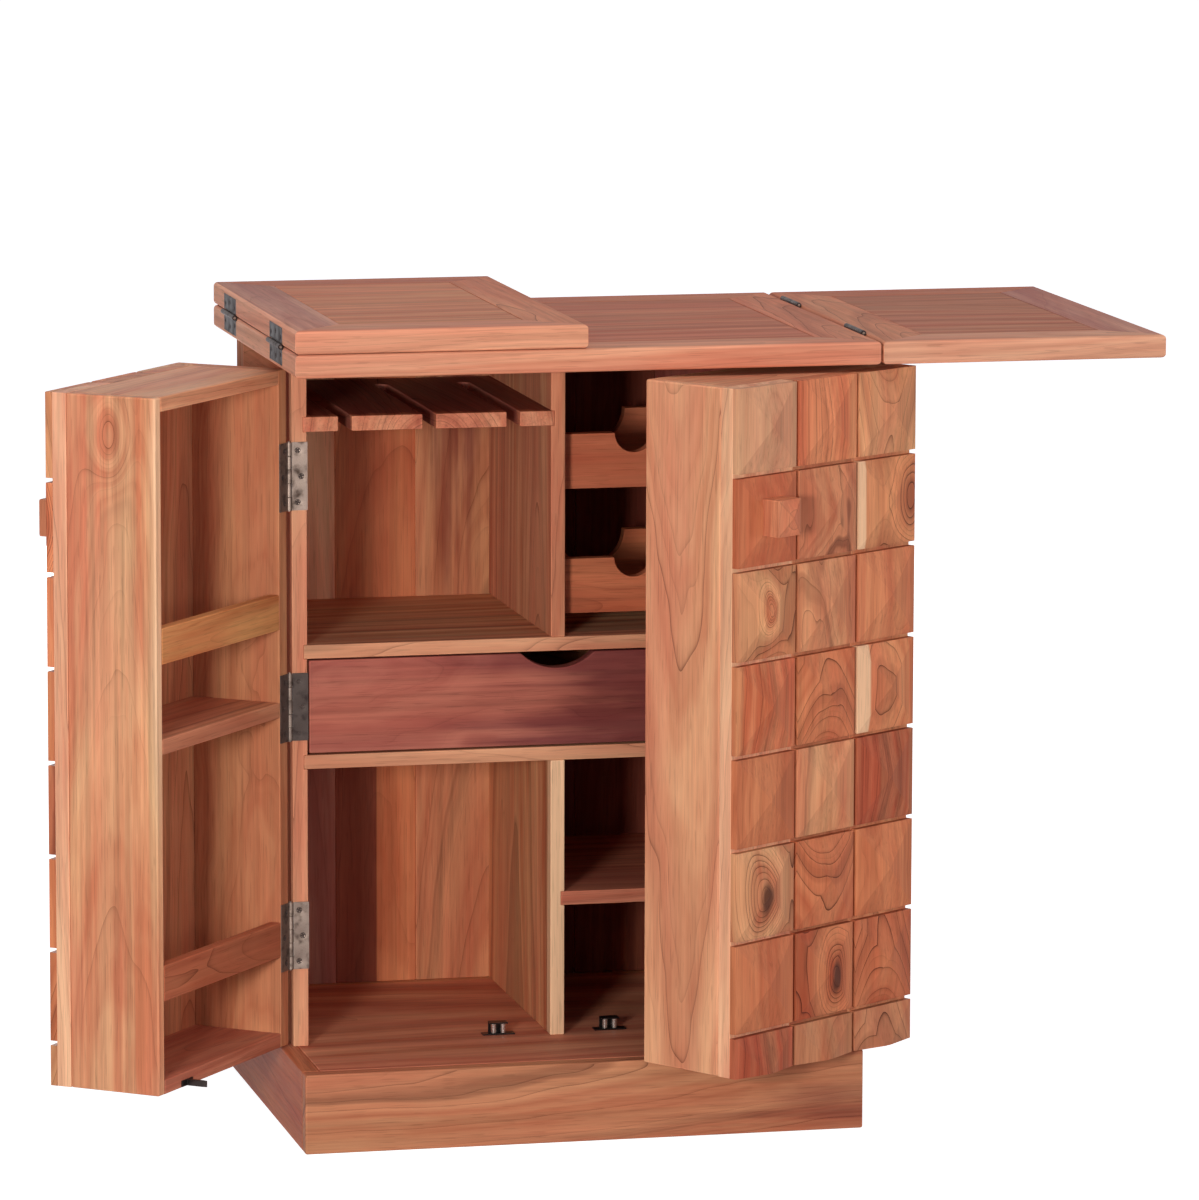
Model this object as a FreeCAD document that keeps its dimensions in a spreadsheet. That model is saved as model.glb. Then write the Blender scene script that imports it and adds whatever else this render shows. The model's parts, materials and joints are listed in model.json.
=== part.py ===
"""Bar armoire of solid boards: a folding top, two deep box doors clad in pyramid tiles, a drawer and racks.

The frame has +X to the right, +Y to the back and +Z up. Its origin is the middle of the plinth's front
edge, on the floor. Lengths are millimetres and angles are degrees.
"""
import FreeCAD, Part

import math
import os
import re
import Sketcher

Vector = FreeCAD.Vector
Rotation = FreeCAD.Rotation
Placement = FreeCAD.Placement

# Driving sizes: alias, value and what it measures
SIZES = (
    ("plinth_width", 625, "plinth, left to right"),
    ("plinth_depth", 487, "plinth, front to back"),
    ("plinth_height", 88, "plinth, floor to top"),
    ("plinth_board", 20, "thickness of the plinth boards"),
    ("floor_thickness", 16, "floor panel let in flush with the plinth's top"),
    ("carcass_width", 596, "carcass over its sides"),
    ("carcass_height", 761, "carcass, plinth to folding top"),
    ("carcass_setback", 148, "carcass front behind the plinth's front"),
    ("side_thickness", 17, "side frames"),
    ("side_stile", 42, "width of the side frames' stiles"),
    ("side_rail", 60, "width of the side frames' rails"),
    ("side_recess", 4.8, "side panels set in from the frames' outer face"),
    ("back_thickness", 10, "planks of the back"),
    ("back_planks", 6, "number of planks in the back"),
    ("shelf_thickness", 15.5, "boards and shelves inside"),
    ("dado_depth", 4, "housing of the shelves in the sides and partitions"),
    ("lower_height", 310, "clear height under the drawer's lower board"),
    ("drawer_opening", 107, "clear height between the drawer's boards"),
    ("partition_thickness", 16, "upright partitions"),
    ("tumbler_height", 146.5, "clear height under the small shelf"),
    ("rack_drop", 61.5, "clear height between the glass rack and the top"),
    ("rack_thickness", 16.5, "glass rack"),
    ("rack_slot", 15, "width of a slot for the glasses' stems"),
    ("rack_pitch", 94, "distance between the slots"),
    ("rack_web", 60, "solid part of the rack behind its slots"),
    ("bottle_rail_height", 61, "rails of the bottle rack"),
    ("bottle_rail_thickness", 16, "rails of the bottle rack"),
    ("bottle_rail_setback", 24, "front rails behind the carcass front"),
    ("bottle_rail_reach", 215, "back rails behind the front rails"),
    ("bottle_rail_lift", 22, "lower rails above the drawer's upper board"),
    ("bottle_rail_rise", 139, "upper rails above the lower ones"),
    ("bottle_pitch", 106, "distance between two bottles on a rail"),
    ("neck_radius", 22, "notches of the front rails"),
    ("belly_radius", 39, "notches of the back rails"),
    ("drawer_gap", 2, "running gap beside and above the drawer"),
    ("drawer_clearance", 0.3, "drawer sides above the board they run on"),
    ("drawer_recess", 1, "drawer front behind the carcass front"),
    ("drawer_length", 290, "drawer, front to back"),
    ("drawer_front_thickness", 18, "drawer front"),
    ("drawer_side_thickness", 12, "drawer sides and back"),
    ("drawer_side_drop", 21, "drawer sides below the top of the front"),
    ("drawer_bottom_thickness", 6, "drawer bottom"),
    ("drawer_bottom_lift", 8, "drawer bottom above the lower edge of its sides"),
    ("pull_radius", 58, "arc of the finger cut-out"),
    ("pull_depth", 17, "depth of the finger cut-out"),
    ("top_width", 646, "fixed top board"),
    ("top_depth", 507, "top boards, front to back"),
    ("top_overhang", 13, "top boards in front of the plinth"),
    ("top_thickness", 25.5, "top boards"),
    ("top_frame", 59, "width of the mitred frames"),
    ("top_round", 4, "rounding of the top boards' front and back edges"),
    ("leaf_width", 320, "folding leaf"),
    ("leaf_seam", 0.4, "gap under a folded leaf"),
    ("leaf_gap", 2.6, "gap beside an unfolded leaf"),
    ("left_unfold", 0, "left leaf, turned from folded"),
    ("right_unfold", 180, "right leaf, turned from folded"),
    ("leaf_hinge_front", 79, "first leaf hinge behind the front edge"),
    ("leaf_hinge_back", 69, "last leaf hinge in front of the back edge"),
    ("hinge_length", 75, "butt hinges"),
    ("hinge_reach", 20.5, "hinge leaf from its pin"),
    ("hinge_sheet", 1.4, "hinge leaf's metal"),
    ("hinge_mortise_gap", 0.2, "mortise round a leaf hinge"),
    ("knuckle_radius", 2.9, "hinge barrel"),
    ("knuckle_gap", 0.3, "play between the knuckles and round them"),
    ("pin_radius", 1.5, "hinge pin"),
    ("pin_clearance", 0.05, "pin in its knuckles"),
    ("pin_end", 1, "pin standing out of its outer knuckles"),
    ("door_hinge_low", 84, "lowest door hinge above the door's lower end"),
    ("door_hinge_high", 81, "highest door hinge below the door's upper end"),
    ("pin_offset", 3, "door pin outside the carcass side"),
    ("door_gap", 3, "closed door in front of the carcass"),
    ("door_meet", 5, "gap between the closed doors"),
    ("door_lift", 3.5, "door above the plinth"),
    ("door_drop", 7.5, "door below the folding top"),
    ("door_depth", 107.5, "door box from its open side to its backing"),
    ("door_hinge_side", 18, "door board at the hinges"),
    ("door_free_side", 13, "door board at the free edge"),
    ("door_cap", 16, "door's top and bottom boards"),
    ("door_backing", 17, "planks behind the tiles"),
    ("door_shelf", 17, "shelf inside a door"),
    ("left_shelf", 367.5, "left door's shelf above the door's lower end"),
    ("right_shelf", 280.5, "right door's shelf above the door's lower end"),
    ("guard_height", 39, "guard rails across the door boxes"),
    ("guard_thickness", 13, "guard rails across the door boxes"),
    ("lower_guard", 101, "lower guard rail above the door's lower end"),
    ("upper_guard", 464.5, "upper guard rail above the door's lower end"),
    ("tile_columns", 3, "columns of tiles on a door"),
    ("tile_height", 96.5, "full tile"),
    ("tile_groove", 5, "groove between the tiles"),
    ("tile_trim", 4.5, "sawn off the top row of tiles"),
    ("tile_edge", 8, "tile's thickness at its edge"),
    ("tile_rise", 9, "pyramid above the tile's edge"),
    ("tile_flat", 2, "worn flat at the pyramid's point"),
    ("knob_width", 37, "knob across"),
    ("knob_height", 40, "knob, top to bottom"),
    ("knob_length", 34, "knob in front of the tiles' edges"),
    ("knob_rise", 6, "low pyramid on the knob's face"),
    ("knob_over", 5, "knob from the middle of its tile towards the hinges"),
    ("knob_up", 4.5, "knob above the middle of its tile"),
    ("left_open", 128.3, "left door, turned from closed"),
    ("right_open", 35, "right door, turned from closed"),
    ("catch_spread", 63.5, "roller catches from the middle"),
    ("catch_setback", 17, "catch rollers behind the carcass front"),
    ("catch_width", 20, "catch housing"),
    ("catch_depth", 13, "catch housing"),
    ("catch_height", 14, "catch housing"),
    ("catch_sheet", 1.5, "catch housing's metal"),
    ("catch_ear", 8, "screw ears of the catch"),
    ("roller_radius", 3, "catch rollers"),
    ("roller_post", 1, "posts of the rollers"),
    ("roller_gap", 4.8, "room between two rollers"),
    ("roller_play", 0.3, "room above and below a roller"),
    ("striker_plate", 24, "width of the striker's plate"),
    ("striker_height", 7, "striker's tongue"),
    ("striker_thickness", 3, "striker's tongue"),
    ("striker_length", 25, "striker's tongue"),
    ("striker_taper", 5, "tapered end of the tongue"),
    ("striker_lift", 4.5, "tongue above the plinth"),
)

# Places worked out from the driving sizes
PLACES = {
    "side_out": "carcass_width / 2",
    "side_in": "side_out - side_thickness",
    "carcass_front": "carcass_setback",
    "back_in": "plinth_depth - back_thickness",
    "inner_depth": "back_in - carcass_front",
    "side_depth": "plinth_depth - carcass_front",
    "top_under": "plinth_height + carcass_height",
    "lower_board": "plinth_height + lower_height",
    "drawer_floor": "lower_board + shelf_thickness",
    "upper_board": "drawer_floor + drawer_opening",
    "bar_floor": "upper_board + shelf_thickness",
    "rack_under": "top_under - rack_drop - rack_thickness",
    "tumbler_under": "plinth_height + tumbler_height",
    "half_wall": "partition_thickness / 2",
    "glass_bay": "side_in - half_wall",
    "rack_span": "glass_bay + 2 * dado_depth",
    "lower_rail": "bar_floor + bottle_rail_lift",
    "drawer_half": "side_in - drawer_gap",
    "drawer_face": "carcass_front + drawer_recess",
    "drawer_front_height": "drawer_opening - 2 * drawer_gap",
    "drawer_box_depth": "drawer_length - drawer_front_thickness",
    "drawer_under": "drawer_floor + drawer_clearance",
    "drawer_side_height": "drawer_front_height - drawer_side_drop",
    "seam_pin_height": "top_under + top_thickness + leaf_seam / 2",
    "seam_pin_side": "top_width / 2 + leaf_gap / 2",
    "knuckle": "hinge_length / 3",
    "bore": "pin_radius + pin_clearance",
    "barrel_room": "knuckle_radius + knuckle_gap",
    "door_pin_side": "side_out + pin_offset",
    "door_pin_depth": "carcass_front - door_gap / 2",
    "door_width": "side_out - door_meet / 2",
    "door_under": "plinth_height + door_lift",
    "door_height": "carcass_height - door_lift - door_drop",
    "door_hinge_pitch": "(door_height - door_hinge_low - door_hinge_high - hinge_length) / 2",
    "leaf_hinge_pitch": "top_depth - leaf_hinge_front - leaf_hinge_back - hinge_length",
    "door_inside": "door_width - door_hinge_side - door_free_side",
    "tile_width": "(door_width - (tile_columns - 1) * tile_groove) / tile_columns",
    "tile_pitch": "tile_height + tile_groove",
    "tile_face": "door_gap / 2 + door_depth + door_backing",
    "roller_height": "catch_height - 2 * catch_sheet - 2 * roller_play",
    "roller_offset": "roller_gap / 2 + roller_radius",
    "catch_front": "carcass_front + catch_setback - roller_radius - catch_sheet",
    "striker_reach": "side_out - catch_spread + pin_offset",
}

doc = FreeCAD.newDocument("bar_armoire")
sheet = doc.addObject("Spreadsheet::Sheet", "Sizes")
for row, (alias, number, meaning) in enumerate(SIZES, 1):
    sheet.set(f"A{row}", alias)
    sheet.set(f"B{row}", str(number))
    sheet.set(f"C{row}", meaning)
    sheet.setAlias(f"B{row}", alias)
doc.recompute()

ALIASES = {alias for alias, number, meaning in SIZES}
parts = []


def formula(text):
    """A document expression from plain words: aliases get their sheet, places are written out."""
    def word(match):
        name = match.group(0)
        if name in PLACES:
            return "(" + formula(PLACES[name]) + ")"
        return "Sizes." + name if name in ALIASES else name
    return re.sub(r"[A-Za-z_]\w*", word, str(text))


def value(text):
    """What a formula comes to, as a plain number."""
    return float(sheet.evalExpression(formula(text)))


def bind(target, **formulas):
    """Tie an object's properties to the sheet; a double underscore stands for a point in the path."""
    for path, text in formulas.items():
        target.setExpression(path.replace("__", "."), formula(text))


class Swing:
    """A hinged frame: its origin lies on the pin, and its angle counts from closed or folded."""

    def __init__(self, axis, pin, angle):
        self.axis = axis
        self.pin = pin
        self.angle = angle

    def base(self, corner):
        """Where a corner given in the closed frame comes to lie."""
        first, second = ("x", "y") if self.axis == "z" else ("z", "x")
        place = dict(zip("xyz", corner))
        turned = dict(place)
        turned[first] = f"({place[first]}) * cos({self.angle}) - ({place[second]}) * sin({self.angle})"
        turned[second] = f"({place[first]}) * sin({self.angle}) + ({place[second]}) * cos({self.angle})"
        return [f"{pin} + {turned[axis]}" for pin, axis in zip(self.pin, "xyz")]


LEFT_DOOR = Swing("z", ("-door_pin_side", "door_pin_depth", "0"), "-left_open")
RIGHT_DOOR = Swing("z", ("door_pin_side", "door_pin_depth", "0"), "right_open")
LEFT_LEAF = Swing("y", ("-seam_pin_side", "-top_overhang", "seam_pin_height"), "-left_unfold")
RIGHT_LEAF = Swing("y", ("seam_pin_side", "-top_overhang", "seam_pin_height"), "right_unfold")


def put(piece, swing, corner):
    """Place a piece by its corner, in the room's frame or on a swing."""
    if swing:
        axis = Vector(0, 0, 1) if swing.axis == "z" else Vector(0, 1, 0)
        piece.Placement = Placement(Vector(), Rotation(axis, 1))
        bind(piece, Placement__Rotation__Angle=swing.angle)
        corner = swing.base(corner)
    for axis, text in zip("xyz", corner):
        bind(piece, **{"Placement__Base__" + axis: text})
    return piece


def keep(piece):
    """List a finished sub-part; its label names its file."""
    parts.append(piece)
    return piece


def group(name, pieces):
    """Several separate solids kept as one sub-part."""
    compound = doc.addObject("Part::Compound", name)
    compound.Links = pieces
    return keep(compound)


def board(name, corner, size, swing=None):
    """A plain sawn board."""
    box = doc.addObject("Part::Box", name)
    bind(box, Length=size[0], Width=size[1], Height=size[2])
    return put(box, swing, corner)


def body(name, corner, swing=None):
    """An empty body at its place, for a piece that is cut or built up from several features."""
    return put(doc.addObject("PartDesign::Body", name), swing, corner)


def feature(owner, kind, name, corner, turn=None, **sizes):
    """A primitive feature of a body, such as an added box or a bored cylinder."""
    made = owner.newObject("PartDesign::" + kind, name)
    if turn:
        made.Placement = Placement(Vector(), turn)
    for axis, text in zip("xyz", corner):
        bind(made, **{"Placement__Base__" + axis: text})
    bind(made, **sizes)
    return made


def add_box(owner, name, corner, size):
    return feature(owner, "AdditiveBox", name, corner, Length=size[0], Width=size[1], Height=size[2])


def cut_box(owner, name, corner, size):
    return feature(owner, "SubtractiveBox", name, corner, Length=size[0], Width=size[1], Height=size[2])


ALONG_Y = Rotation(Vector(1, 0, 0), -90)


def round_bar(owner, kind, name, start, radius, length, axis):
    """A cylinder along Z or Y, added or cut."""
    turn = ALONG_Y if axis == "y" else None
    return feature(owner, kind + "Cylinder", name, start, turn, Radius=radius, Height=length)


def row_of(owner, name, originals, role, count, length):
    """Repeat features in a straight row."""
    made = owner.newObject("PartDesign::LinearPattern", name)
    made.Originals = originals
    made.Direction = (next(f for f in owner.Origin.OriginFeatures if f.Role == role), [""])
    made.Occurrences = count
    bind(made, Length=length)
    owner.Tip = made
    return made


def plate(name, corner, outline, thickness, swing=None):
    """A flat piece: a straight-sided outline in its own XY plane, raised by its thickness."""
    owner = body(name, corner, swing)
    sketch = owner.newObject("Sketcher::SketchObject", name + "_outline")
    plane = next(f for f in owner.Origin.OriginFeatures if f.Role == "XY_Plane")
    sketch.AttachmentSupport = (plane, [""])
    sketch.MapMode = "FlatFace"
    points = [Vector(value(x), value(y), 0) for x, y in outline]
    for start, end in zip(points, points[1:] + points[:1]):
        sketch.addGeometry(Part.LineSegment(start, end))
    for line in range(len(points)):
        sketch.addConstraint(Sketcher.Constraint("Coincident", line, 2, (line + 1) % len(points), 1))
    for line, point in enumerate(outline):
        for kind, axis, text in (("DistanceX", -2, point[0]), ("DistanceY", -1, point[1])):
            if text == "0":
                sketch.addConstraint(Sketcher.Constraint("PointOnObject", line, 1, axis))
                continue
            row = sketch.addConstraint(Sketcher.Constraint(kind, -1, 1, line, 1, value(text)))
            sketch.setExpression(f"Constraints[{row}]", formula(text))
    pad = owner.newObject("PartDesign::Pad", name + "_pad")
    pad.Profile = sketch
    bind(pad, Length=thickness)
    return owner


def round_edges(owner, name, along, chosen, radius):
    """Round the straight edges along one axis whose middle the test picks, in the body's own frame."""
    doc.recompute()
    tip = owner.Tip
    names = []
    for number, edge in enumerate(tip.Shape.Edges, 1):
        ends = edge.Vertexes[0].Point - edge.Vertexes[-1].Point
        straight = abs(getattr(ends, along)) > edge.Length * 0.999
        if straight and chosen(edge.CenterOfMass):
            names.append(f"Edge{number}")
    made = owner.newObject("PartDesign::Fillet", name)
    made.Base = (tip, names)
    bind(made, Radius=radius)
    return made


# Plinth and floor
keep(board("plinth_front", ("-plinth_width / 2", "0", "0"),
           ("plinth_width", "plinth_board", "plinth_height")))
keep(board("plinth_back", ("-plinth_width / 2", "plinth_depth - plinth_board", "0"),
           ("plinth_width", "plinth_board", "plinth_height")))
PLINTH_SIDE = ("plinth_board", "plinth_depth - 2 * plinth_board", "plinth_height")
group("plinth_sides", [
    board("plinth_left", ("-plinth_width / 2", "plinth_board", "0"), PLINTH_SIDE),
    board("plinth_right", ("plinth_width / 2 - plinth_board", "plinth_board", "0"), PLINTH_SIDE)])
keep(board("floor_panel",
           ("-plinth_width / 2 + plinth_board", "plinth_board", "plinth_height - floor_thickness"),
           ("plinth_width - 2 * plinth_board", "plinth_depth - 2 * plinth_board", "floor_thickness")))


# Carcass sides: frame and panel, housed for the shelves that end in them
def housed(owner, name, inner, base, depth, shelves):
    """Cut the housings of some shelves into a board's inner face: inner is its place across the board."""
    for shelf, under, thickness in shelves:
        cut_box(owner, f"{name}_{shelf}_housing", (inner, "0", f"{under} - ({base})"),
                ("dado_depth", depth, thickness))


DRAWER_BOARDS = [("lower", "lower_board", "shelf_thickness"), ("upper", "upper_board", "shelf_thickness")]
RACK_END = ("rack", "rack_under", "rack_thickness")
TUMBLER_END = ("tumbler", "tumbler_under", "shelf_thickness")


def carcass_side(side, shelves):
    left = side == "left"
    outer = "-side_out" if left else "side_in"
    groove = "side_thickness - dado_depth" if left else "0"
    panel_groove = "side_thickness - side_recess - dado_depth" if left else "0"
    rail_length = "side_depth - 2 * side_stile"
    frame = []
    for place, start in (("front", "carcass_front"), ("back", "plinth_depth - side_stile")):
        stile = body(f"{side}_side_{place}_stile", (outer, start, "plinth_height"))
        add_box(stile, f"{side}_{place}_stile_board", ("0", "0", "0"),
                ("side_thickness", "side_stile", "carcass_height"))
        housed(stile, f"{side}_{place}_stile", groove, "plinth_height", "side_stile", shelves)
        frame.append(stile)
    for place, start in (("bottom", "plinth_height"), ("top", "top_under - side_rail")):
        frame.append(board(f"{side}_side_{place}_rail", (outer, "carcass_front + side_stile", start),
                           ("side_thickness", rail_length, "side_rail")))
    group(f"{side}_side_frame", frame)
    panel_base = "plinth_height + side_rail"
    panel = body(f"{side}_side_panel",
                 ("-side_out + side_recess" if left else "side_in", "carcass_front + side_stile", panel_base))
    add_box(panel, f"{side}_panel_board", ("0", "0", "0"),
            ("side_thickness - side_recess", rail_length, "carcass_height - 2 * side_rail"))
    housed(panel, f"{side}_panel", panel_groove, panel_base, rail_length, shelves)
    keep(panel)


carcass_side("left", DRAWER_BOARDS + [RACK_END])
carcass_side("right", DRAWER_BOARDS + [TUMBLER_END])

PLANK = "(2 * side_in) / back_planks"
group("back_planks", [
    board(f"back_plank_{number}", (f"-side_in + {number} * {PLANK}", "back_in", "plinth_height"),
          (PLANK, "back_thickness", "carcass_height"))
    for number in range(round(value("back_planks")))])

# Boards, partitions and shelf inside
for board_name, under in (("drawer_bottom_board", "lower_board"), ("drawer_top_board", "upper_board")):
    keep(board(board_name, ("-side_in - dado_depth", "carcass_front", under),
               ("2 * side_in + 2 * dado_depth", "inner_depth", "shelf_thickness")))

upper_partition = keep(body("upper_partition", ("-half_wall", "carcass_front", "bar_floor")))
add_box(upper_partition, "upper_partition_board", ("0", "0", "0"),
        ("partition_thickness", "inner_depth", "top_under - bar_floor"))
housed(upper_partition, "upper_partition", "0", "bar_floor", "inner_depth", [RACK_END])

lower_partition = keep(body("lower_partition", ("-half_wall", "carcass_front", "plinth_height")))
add_box(lower_partition, "lower_partition_board", ("0", "0", "0"),
        ("partition_thickness", "inner_depth", "lower_height"))
housed(lower_partition, "lower_partition", "partition_thickness - dado_depth", "plinth_height",
       "inner_depth", [TUMBLER_END])

keep(board("tumbler_shelf", ("half_wall - dado_depth", "carcass_front", "tumbler_under"),
           ("glass_bay + 2 * dado_depth", "inner_depth", "shelf_thickness")))

# Glass rack: one board with three round-ended slots open at the front
SLOTS = 3
glass_rack = keep(body("glass_rack", ("-side_in - dado_depth", "carcass_front", "rack_under")))
add_box(glass_rack, "rack_board", ("0", "0", "0"), ("rack_span", "inner_depth", "rack_thickness"))
FIRST_SLOT = f"rack_span / 2 - rack_pitch * {(SLOTS - 1) / 2}"
SLOT_LENGTH = "inner_depth - rack_web"
slot_run = cut_box(glass_rack, "slot_run", (f"{FIRST_SLOT} - rack_slot / 2", "0", "0"),
                   ("rack_slot", SLOT_LENGTH, "rack_thickness"))
slot_end = round_bar(glass_rack, "Subtractive", "slot_end", (FIRST_SLOT, SLOT_LENGTH, "0"),
                     "rack_slot / 2", "rack_thickness", "z")
row_of(glass_rack, "slots", [slot_run, slot_end], "X_Axis", SLOTS, f"rack_pitch * {SLOTS - 1}")


# Bottle rack: two front rails with notches for the necks, two back rails for the bellies
def bottle_rails(name, depth, radius):
    rails = []
    for level in range(2):
        rail = body(f"{name}_{level}", ("half_wall", depth, f"lower_rail + {level} * bottle_rail_rise"))
        add_box(rail, f"{name}_{level}_board", ("0", "0", "0"),
                ("glass_bay", "bottle_rail_thickness", "bottle_rail_height"))
        notch = round_bar(rail, "Subtractive", f"{name}_{level}_notch",
                          ("glass_bay / 2 - bottle_pitch / 2", "0", "bottle_rail_height"),
                          radius, "bottle_rail_thickness", "y")
        row_of(rail, f"{name}_{level}_notches", [notch], "X_Axis", 2, "bottle_pitch")
        rails.append(rail)
    group(name, rails)


bottle_rails("bottle_front_rails", "carcass_front + bottle_rail_setback", "neck_radius")
bottle_rails("bottle_back_rails", "carcass_front + bottle_rail_setback + bottle_rail_reach", "belly_radius")

# Drawer
drawer_front = keep(body("drawer_front", ("-drawer_half", "drawer_face", "drawer_floor + drawer_gap")))
add_box(drawer_front, "drawer_front_board", ("0", "0", "0"),
        ("2 * drawer_half", "drawer_front_thickness", "drawer_front_height"))
round_bar(drawer_front, "Subtractive", "finger_pull",
          ("drawer_half", "0", "drawer_front_height - pull_depth + pull_radius"),
          "pull_radius", "drawer_front_thickness", "y")
DRAWER_BACK_OF_FRONT = "drawer_face + drawer_front_thickness"
DRAWER_SIDE = ("drawer_side_thickness", "drawer_box_depth", "drawer_side_height")
group("drawer_sides", [
    board("drawer_left_side", ("-drawer_half", DRAWER_BACK_OF_FRONT, "drawer_under"), DRAWER_SIDE),
    board("drawer_right_side",
          ("drawer_half - drawer_side_thickness", DRAWER_BACK_OF_FRONT, "drawer_under"), DRAWER_SIDE)])
DRAWER_INSIDE = "2 * drawer_half - 2 * drawer_side_thickness"
keep(board("drawer_back",
           ("-drawer_half + drawer_side_thickness",
            "drawer_face + drawer_length - drawer_side_thickness", "drawer_under"),
           (DRAWER_INSIDE, "drawer_side_thickness", "drawer_side_height")))
keep(board("drawer_bottom",
           ("-drawer_half + drawer_side_thickness", DRAWER_BACK_OF_FRONT,
            "drawer_under + drawer_bottom_lift"),
           (DRAWER_INSIDE, "drawer_box_depth - drawer_side_thickness", "drawer_bottom_thickness")))


# Rows of hinges: where each one begins along its pin
DOOR_ROW = [f"door_under + door_hinge_low + {number} * door_hinge_pitch" for number in range(3)]
SEAM_ROW = [f"leaf_hinge_front + {number} * leaf_hinge_pitch" for number in range(2)]


# Top boards: mitred frames round flush panels, mortised for the seam hinges
def hinge_mortises(rail, name, edge, pin_height, plate_low):
    """Room for the seam hinges in a rail's outer edge face, which lies at edge; the pin is outside it."""
    inward = 1 if edge == "0" else -1
    pin_side = f"{edge} - {inward} * leaf_gap / 2"
    plate_side = edge if inward > 0 else f"{edge} - hinge_sheet"
    for number, first in enumerate(SEAM_ROW):
        cut_box(rail, f"{name}_barrel_room_{number}",
                (f"{pin_side} - barrel_room", f"{first} - pin_end - knuckle_gap",
                 f"{pin_height} - barrel_room"),
                ("2 * barrel_room", "hinge_length + 2 * pin_end + 2 * knuckle_gap", "2 * barrel_room"))
        cut_box(rail, f"{name}_leaf_seat_{number}",
                (plate_side, f"{first} - hinge_mortise_gap", plate_low),
                ("hinge_sheet", "hinge_length + 2 * hinge_mortise_gap", "hinge_reach + hinge_mortise_gap"))


def framed_top(name, corner, width, hinged, pin_height, plate_low, swing=None):
    """A panel in a mitred frame; hinged lists the sides that carry seam hinges."""
    far = f"({width}) - top_frame"
    deep = "top_depth - top_frame"
    outlines = {
        "front": (("0", "0"), (width, "0"), (far, "top_frame"), ("top_frame", "top_frame")),
        "right": ((width, "0"), (width, "top_depth"), (far, deep), (far, "top_frame")),
        "back": ((width, "top_depth"), ("0", "top_depth"), ("top_frame", deep), (far, deep)),
        "left": (("0", "top_depth"), ("0", "0"), ("top_frame", "top_frame"), ("top_frame", deep))}
    rails = []
    for side, outline in outlines.items():
        rail = plate(f"{name}_{side}_rail", corner, outline, "top_thickness", swing)
        if side == "front":
            round_edges(rail, f"{name}_front_round", "x", lambda middle: middle.y < 1e-6, "top_round")
        if side == "back":
            back_edge = value("top_depth")
            round_edges(rail, f"{name}_back_round", "x", lambda middle: middle.y > back_edge - 1e-6,
                        "top_round")
        if side in hinged:
            hinge_mortises(rail, f"{name}_{side}", "0" if side == "left" else width, pin_height, plate_low)
        rails.append(rail)
    group(f"{name}_frame", rails)
    x, y, z = corner
    keep(board(f"{name}_panel", (f"{x} + top_frame", f"{y} + top_frame", z),
               (f"({width}) - 2 * top_frame", "top_depth - 2 * top_frame", "top_thickness"), swing))


framed_top("top", ("-top_width / 2", "-top_overhang", "top_under"), "top_width", ("left", "right"),
           "top_thickness + leaf_seam / 2", "top_thickness + leaf_seam / 2 - hinge_reach - hinge_mortise_gap")
LEAF_LOW = "leaf_seam / 2"
framed_top("left_leaf", ("leaf_gap / 2", "0", LEAF_LOW), "leaf_width", ("left",),
           "-leaf_seam / 2", "-leaf_seam / 2", LEFT_LEAF)
framed_top("right_leaf", ("-leaf_gap / 2 - leaf_width", "0", LEAF_LOW), "leaf_width", ("right",),
           "-leaf_seam / 2", "-leaf_seam / 2", RIGHT_LEAF)


# Butt hinges: each leaf is a sheet with its share of three knuckles, bored for the pin
class HingeAxes:
    """Which way a hinge leaf lies: reach is along the sheet, lift across it, run along the pin."""

    def __init__(self, reach, lift, run):
        self.axes = dict(zip(("reach", "lift", "run"), (reach, lift, run)))

    def box(self, **spans):
        """Corner and size of a box whose spans are (start, length) along the hinge's own directions."""
        corner, size = {}, {}
        for way, (start, length) in spans.items():
            sign, axis = self.axes[way]
            corner[axis] = start if sign == "+" else f"-({start}) - ({length})"
            size[axis] = length
        return [corner[a] for a in "xyz"], [size[a] for a in "xyz"]


def on_pin(run, start):
    """A point on the pin's line."""
    return ("0", start, "0") if run == "y" else ("0", "0", start)


def hinge_leaf(name, corner, axes, lift, knuckles, row, swing=None):
    """A row of equal leaves: lift is the sheet's near face from the pin, across the sheet."""
    leaf = body(name, corner, swing)
    run = axes.axes["run"][1]
    for number, first in enumerate(row):
        add_box(leaf, f"{name}_sheet_{number}", *axes.box(
            reach=("barrel_room", "hinge_reach - barrel_room"), lift=(lift, "hinge_sheet"),
            run=(first, "hinge_length")))
        for place in knuckles:
            start = f"{first} + {place} * knuckle + knuckle_gap / 2"
            add_box(leaf, f"{name}_tongue_{number}_{place}", *axes.box(
                reach=("0", "barrel_room"), lift=(lift, "hinge_sheet"), run=(start, "knuckle - knuckle_gap")))
            round_bar(leaf, "Additive", f"{name}_knuckle_{number}_{place}", on_pin(run, start),
                      "knuckle_radius", "knuckle - knuckle_gap", run)
        round_bar(leaf, "Subtractive", f"{name}_bore_{number}", on_pin(run, first),
                  "bore", "hinge_length", run)
    return leaf


def hinge_pin(name, corner, run, row):
    """A row of plain pins, which stand out a little at both ends."""
    pin = body(name, corner)
    for number, first in enumerate(row):
        round_bar(pin, "Additive", f"{name}_{number}", on_pin(run, f"{first} - pin_end"),
                  "pin_radius", "hinge_length + 2 * pin_end", run)
    return pin


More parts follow.
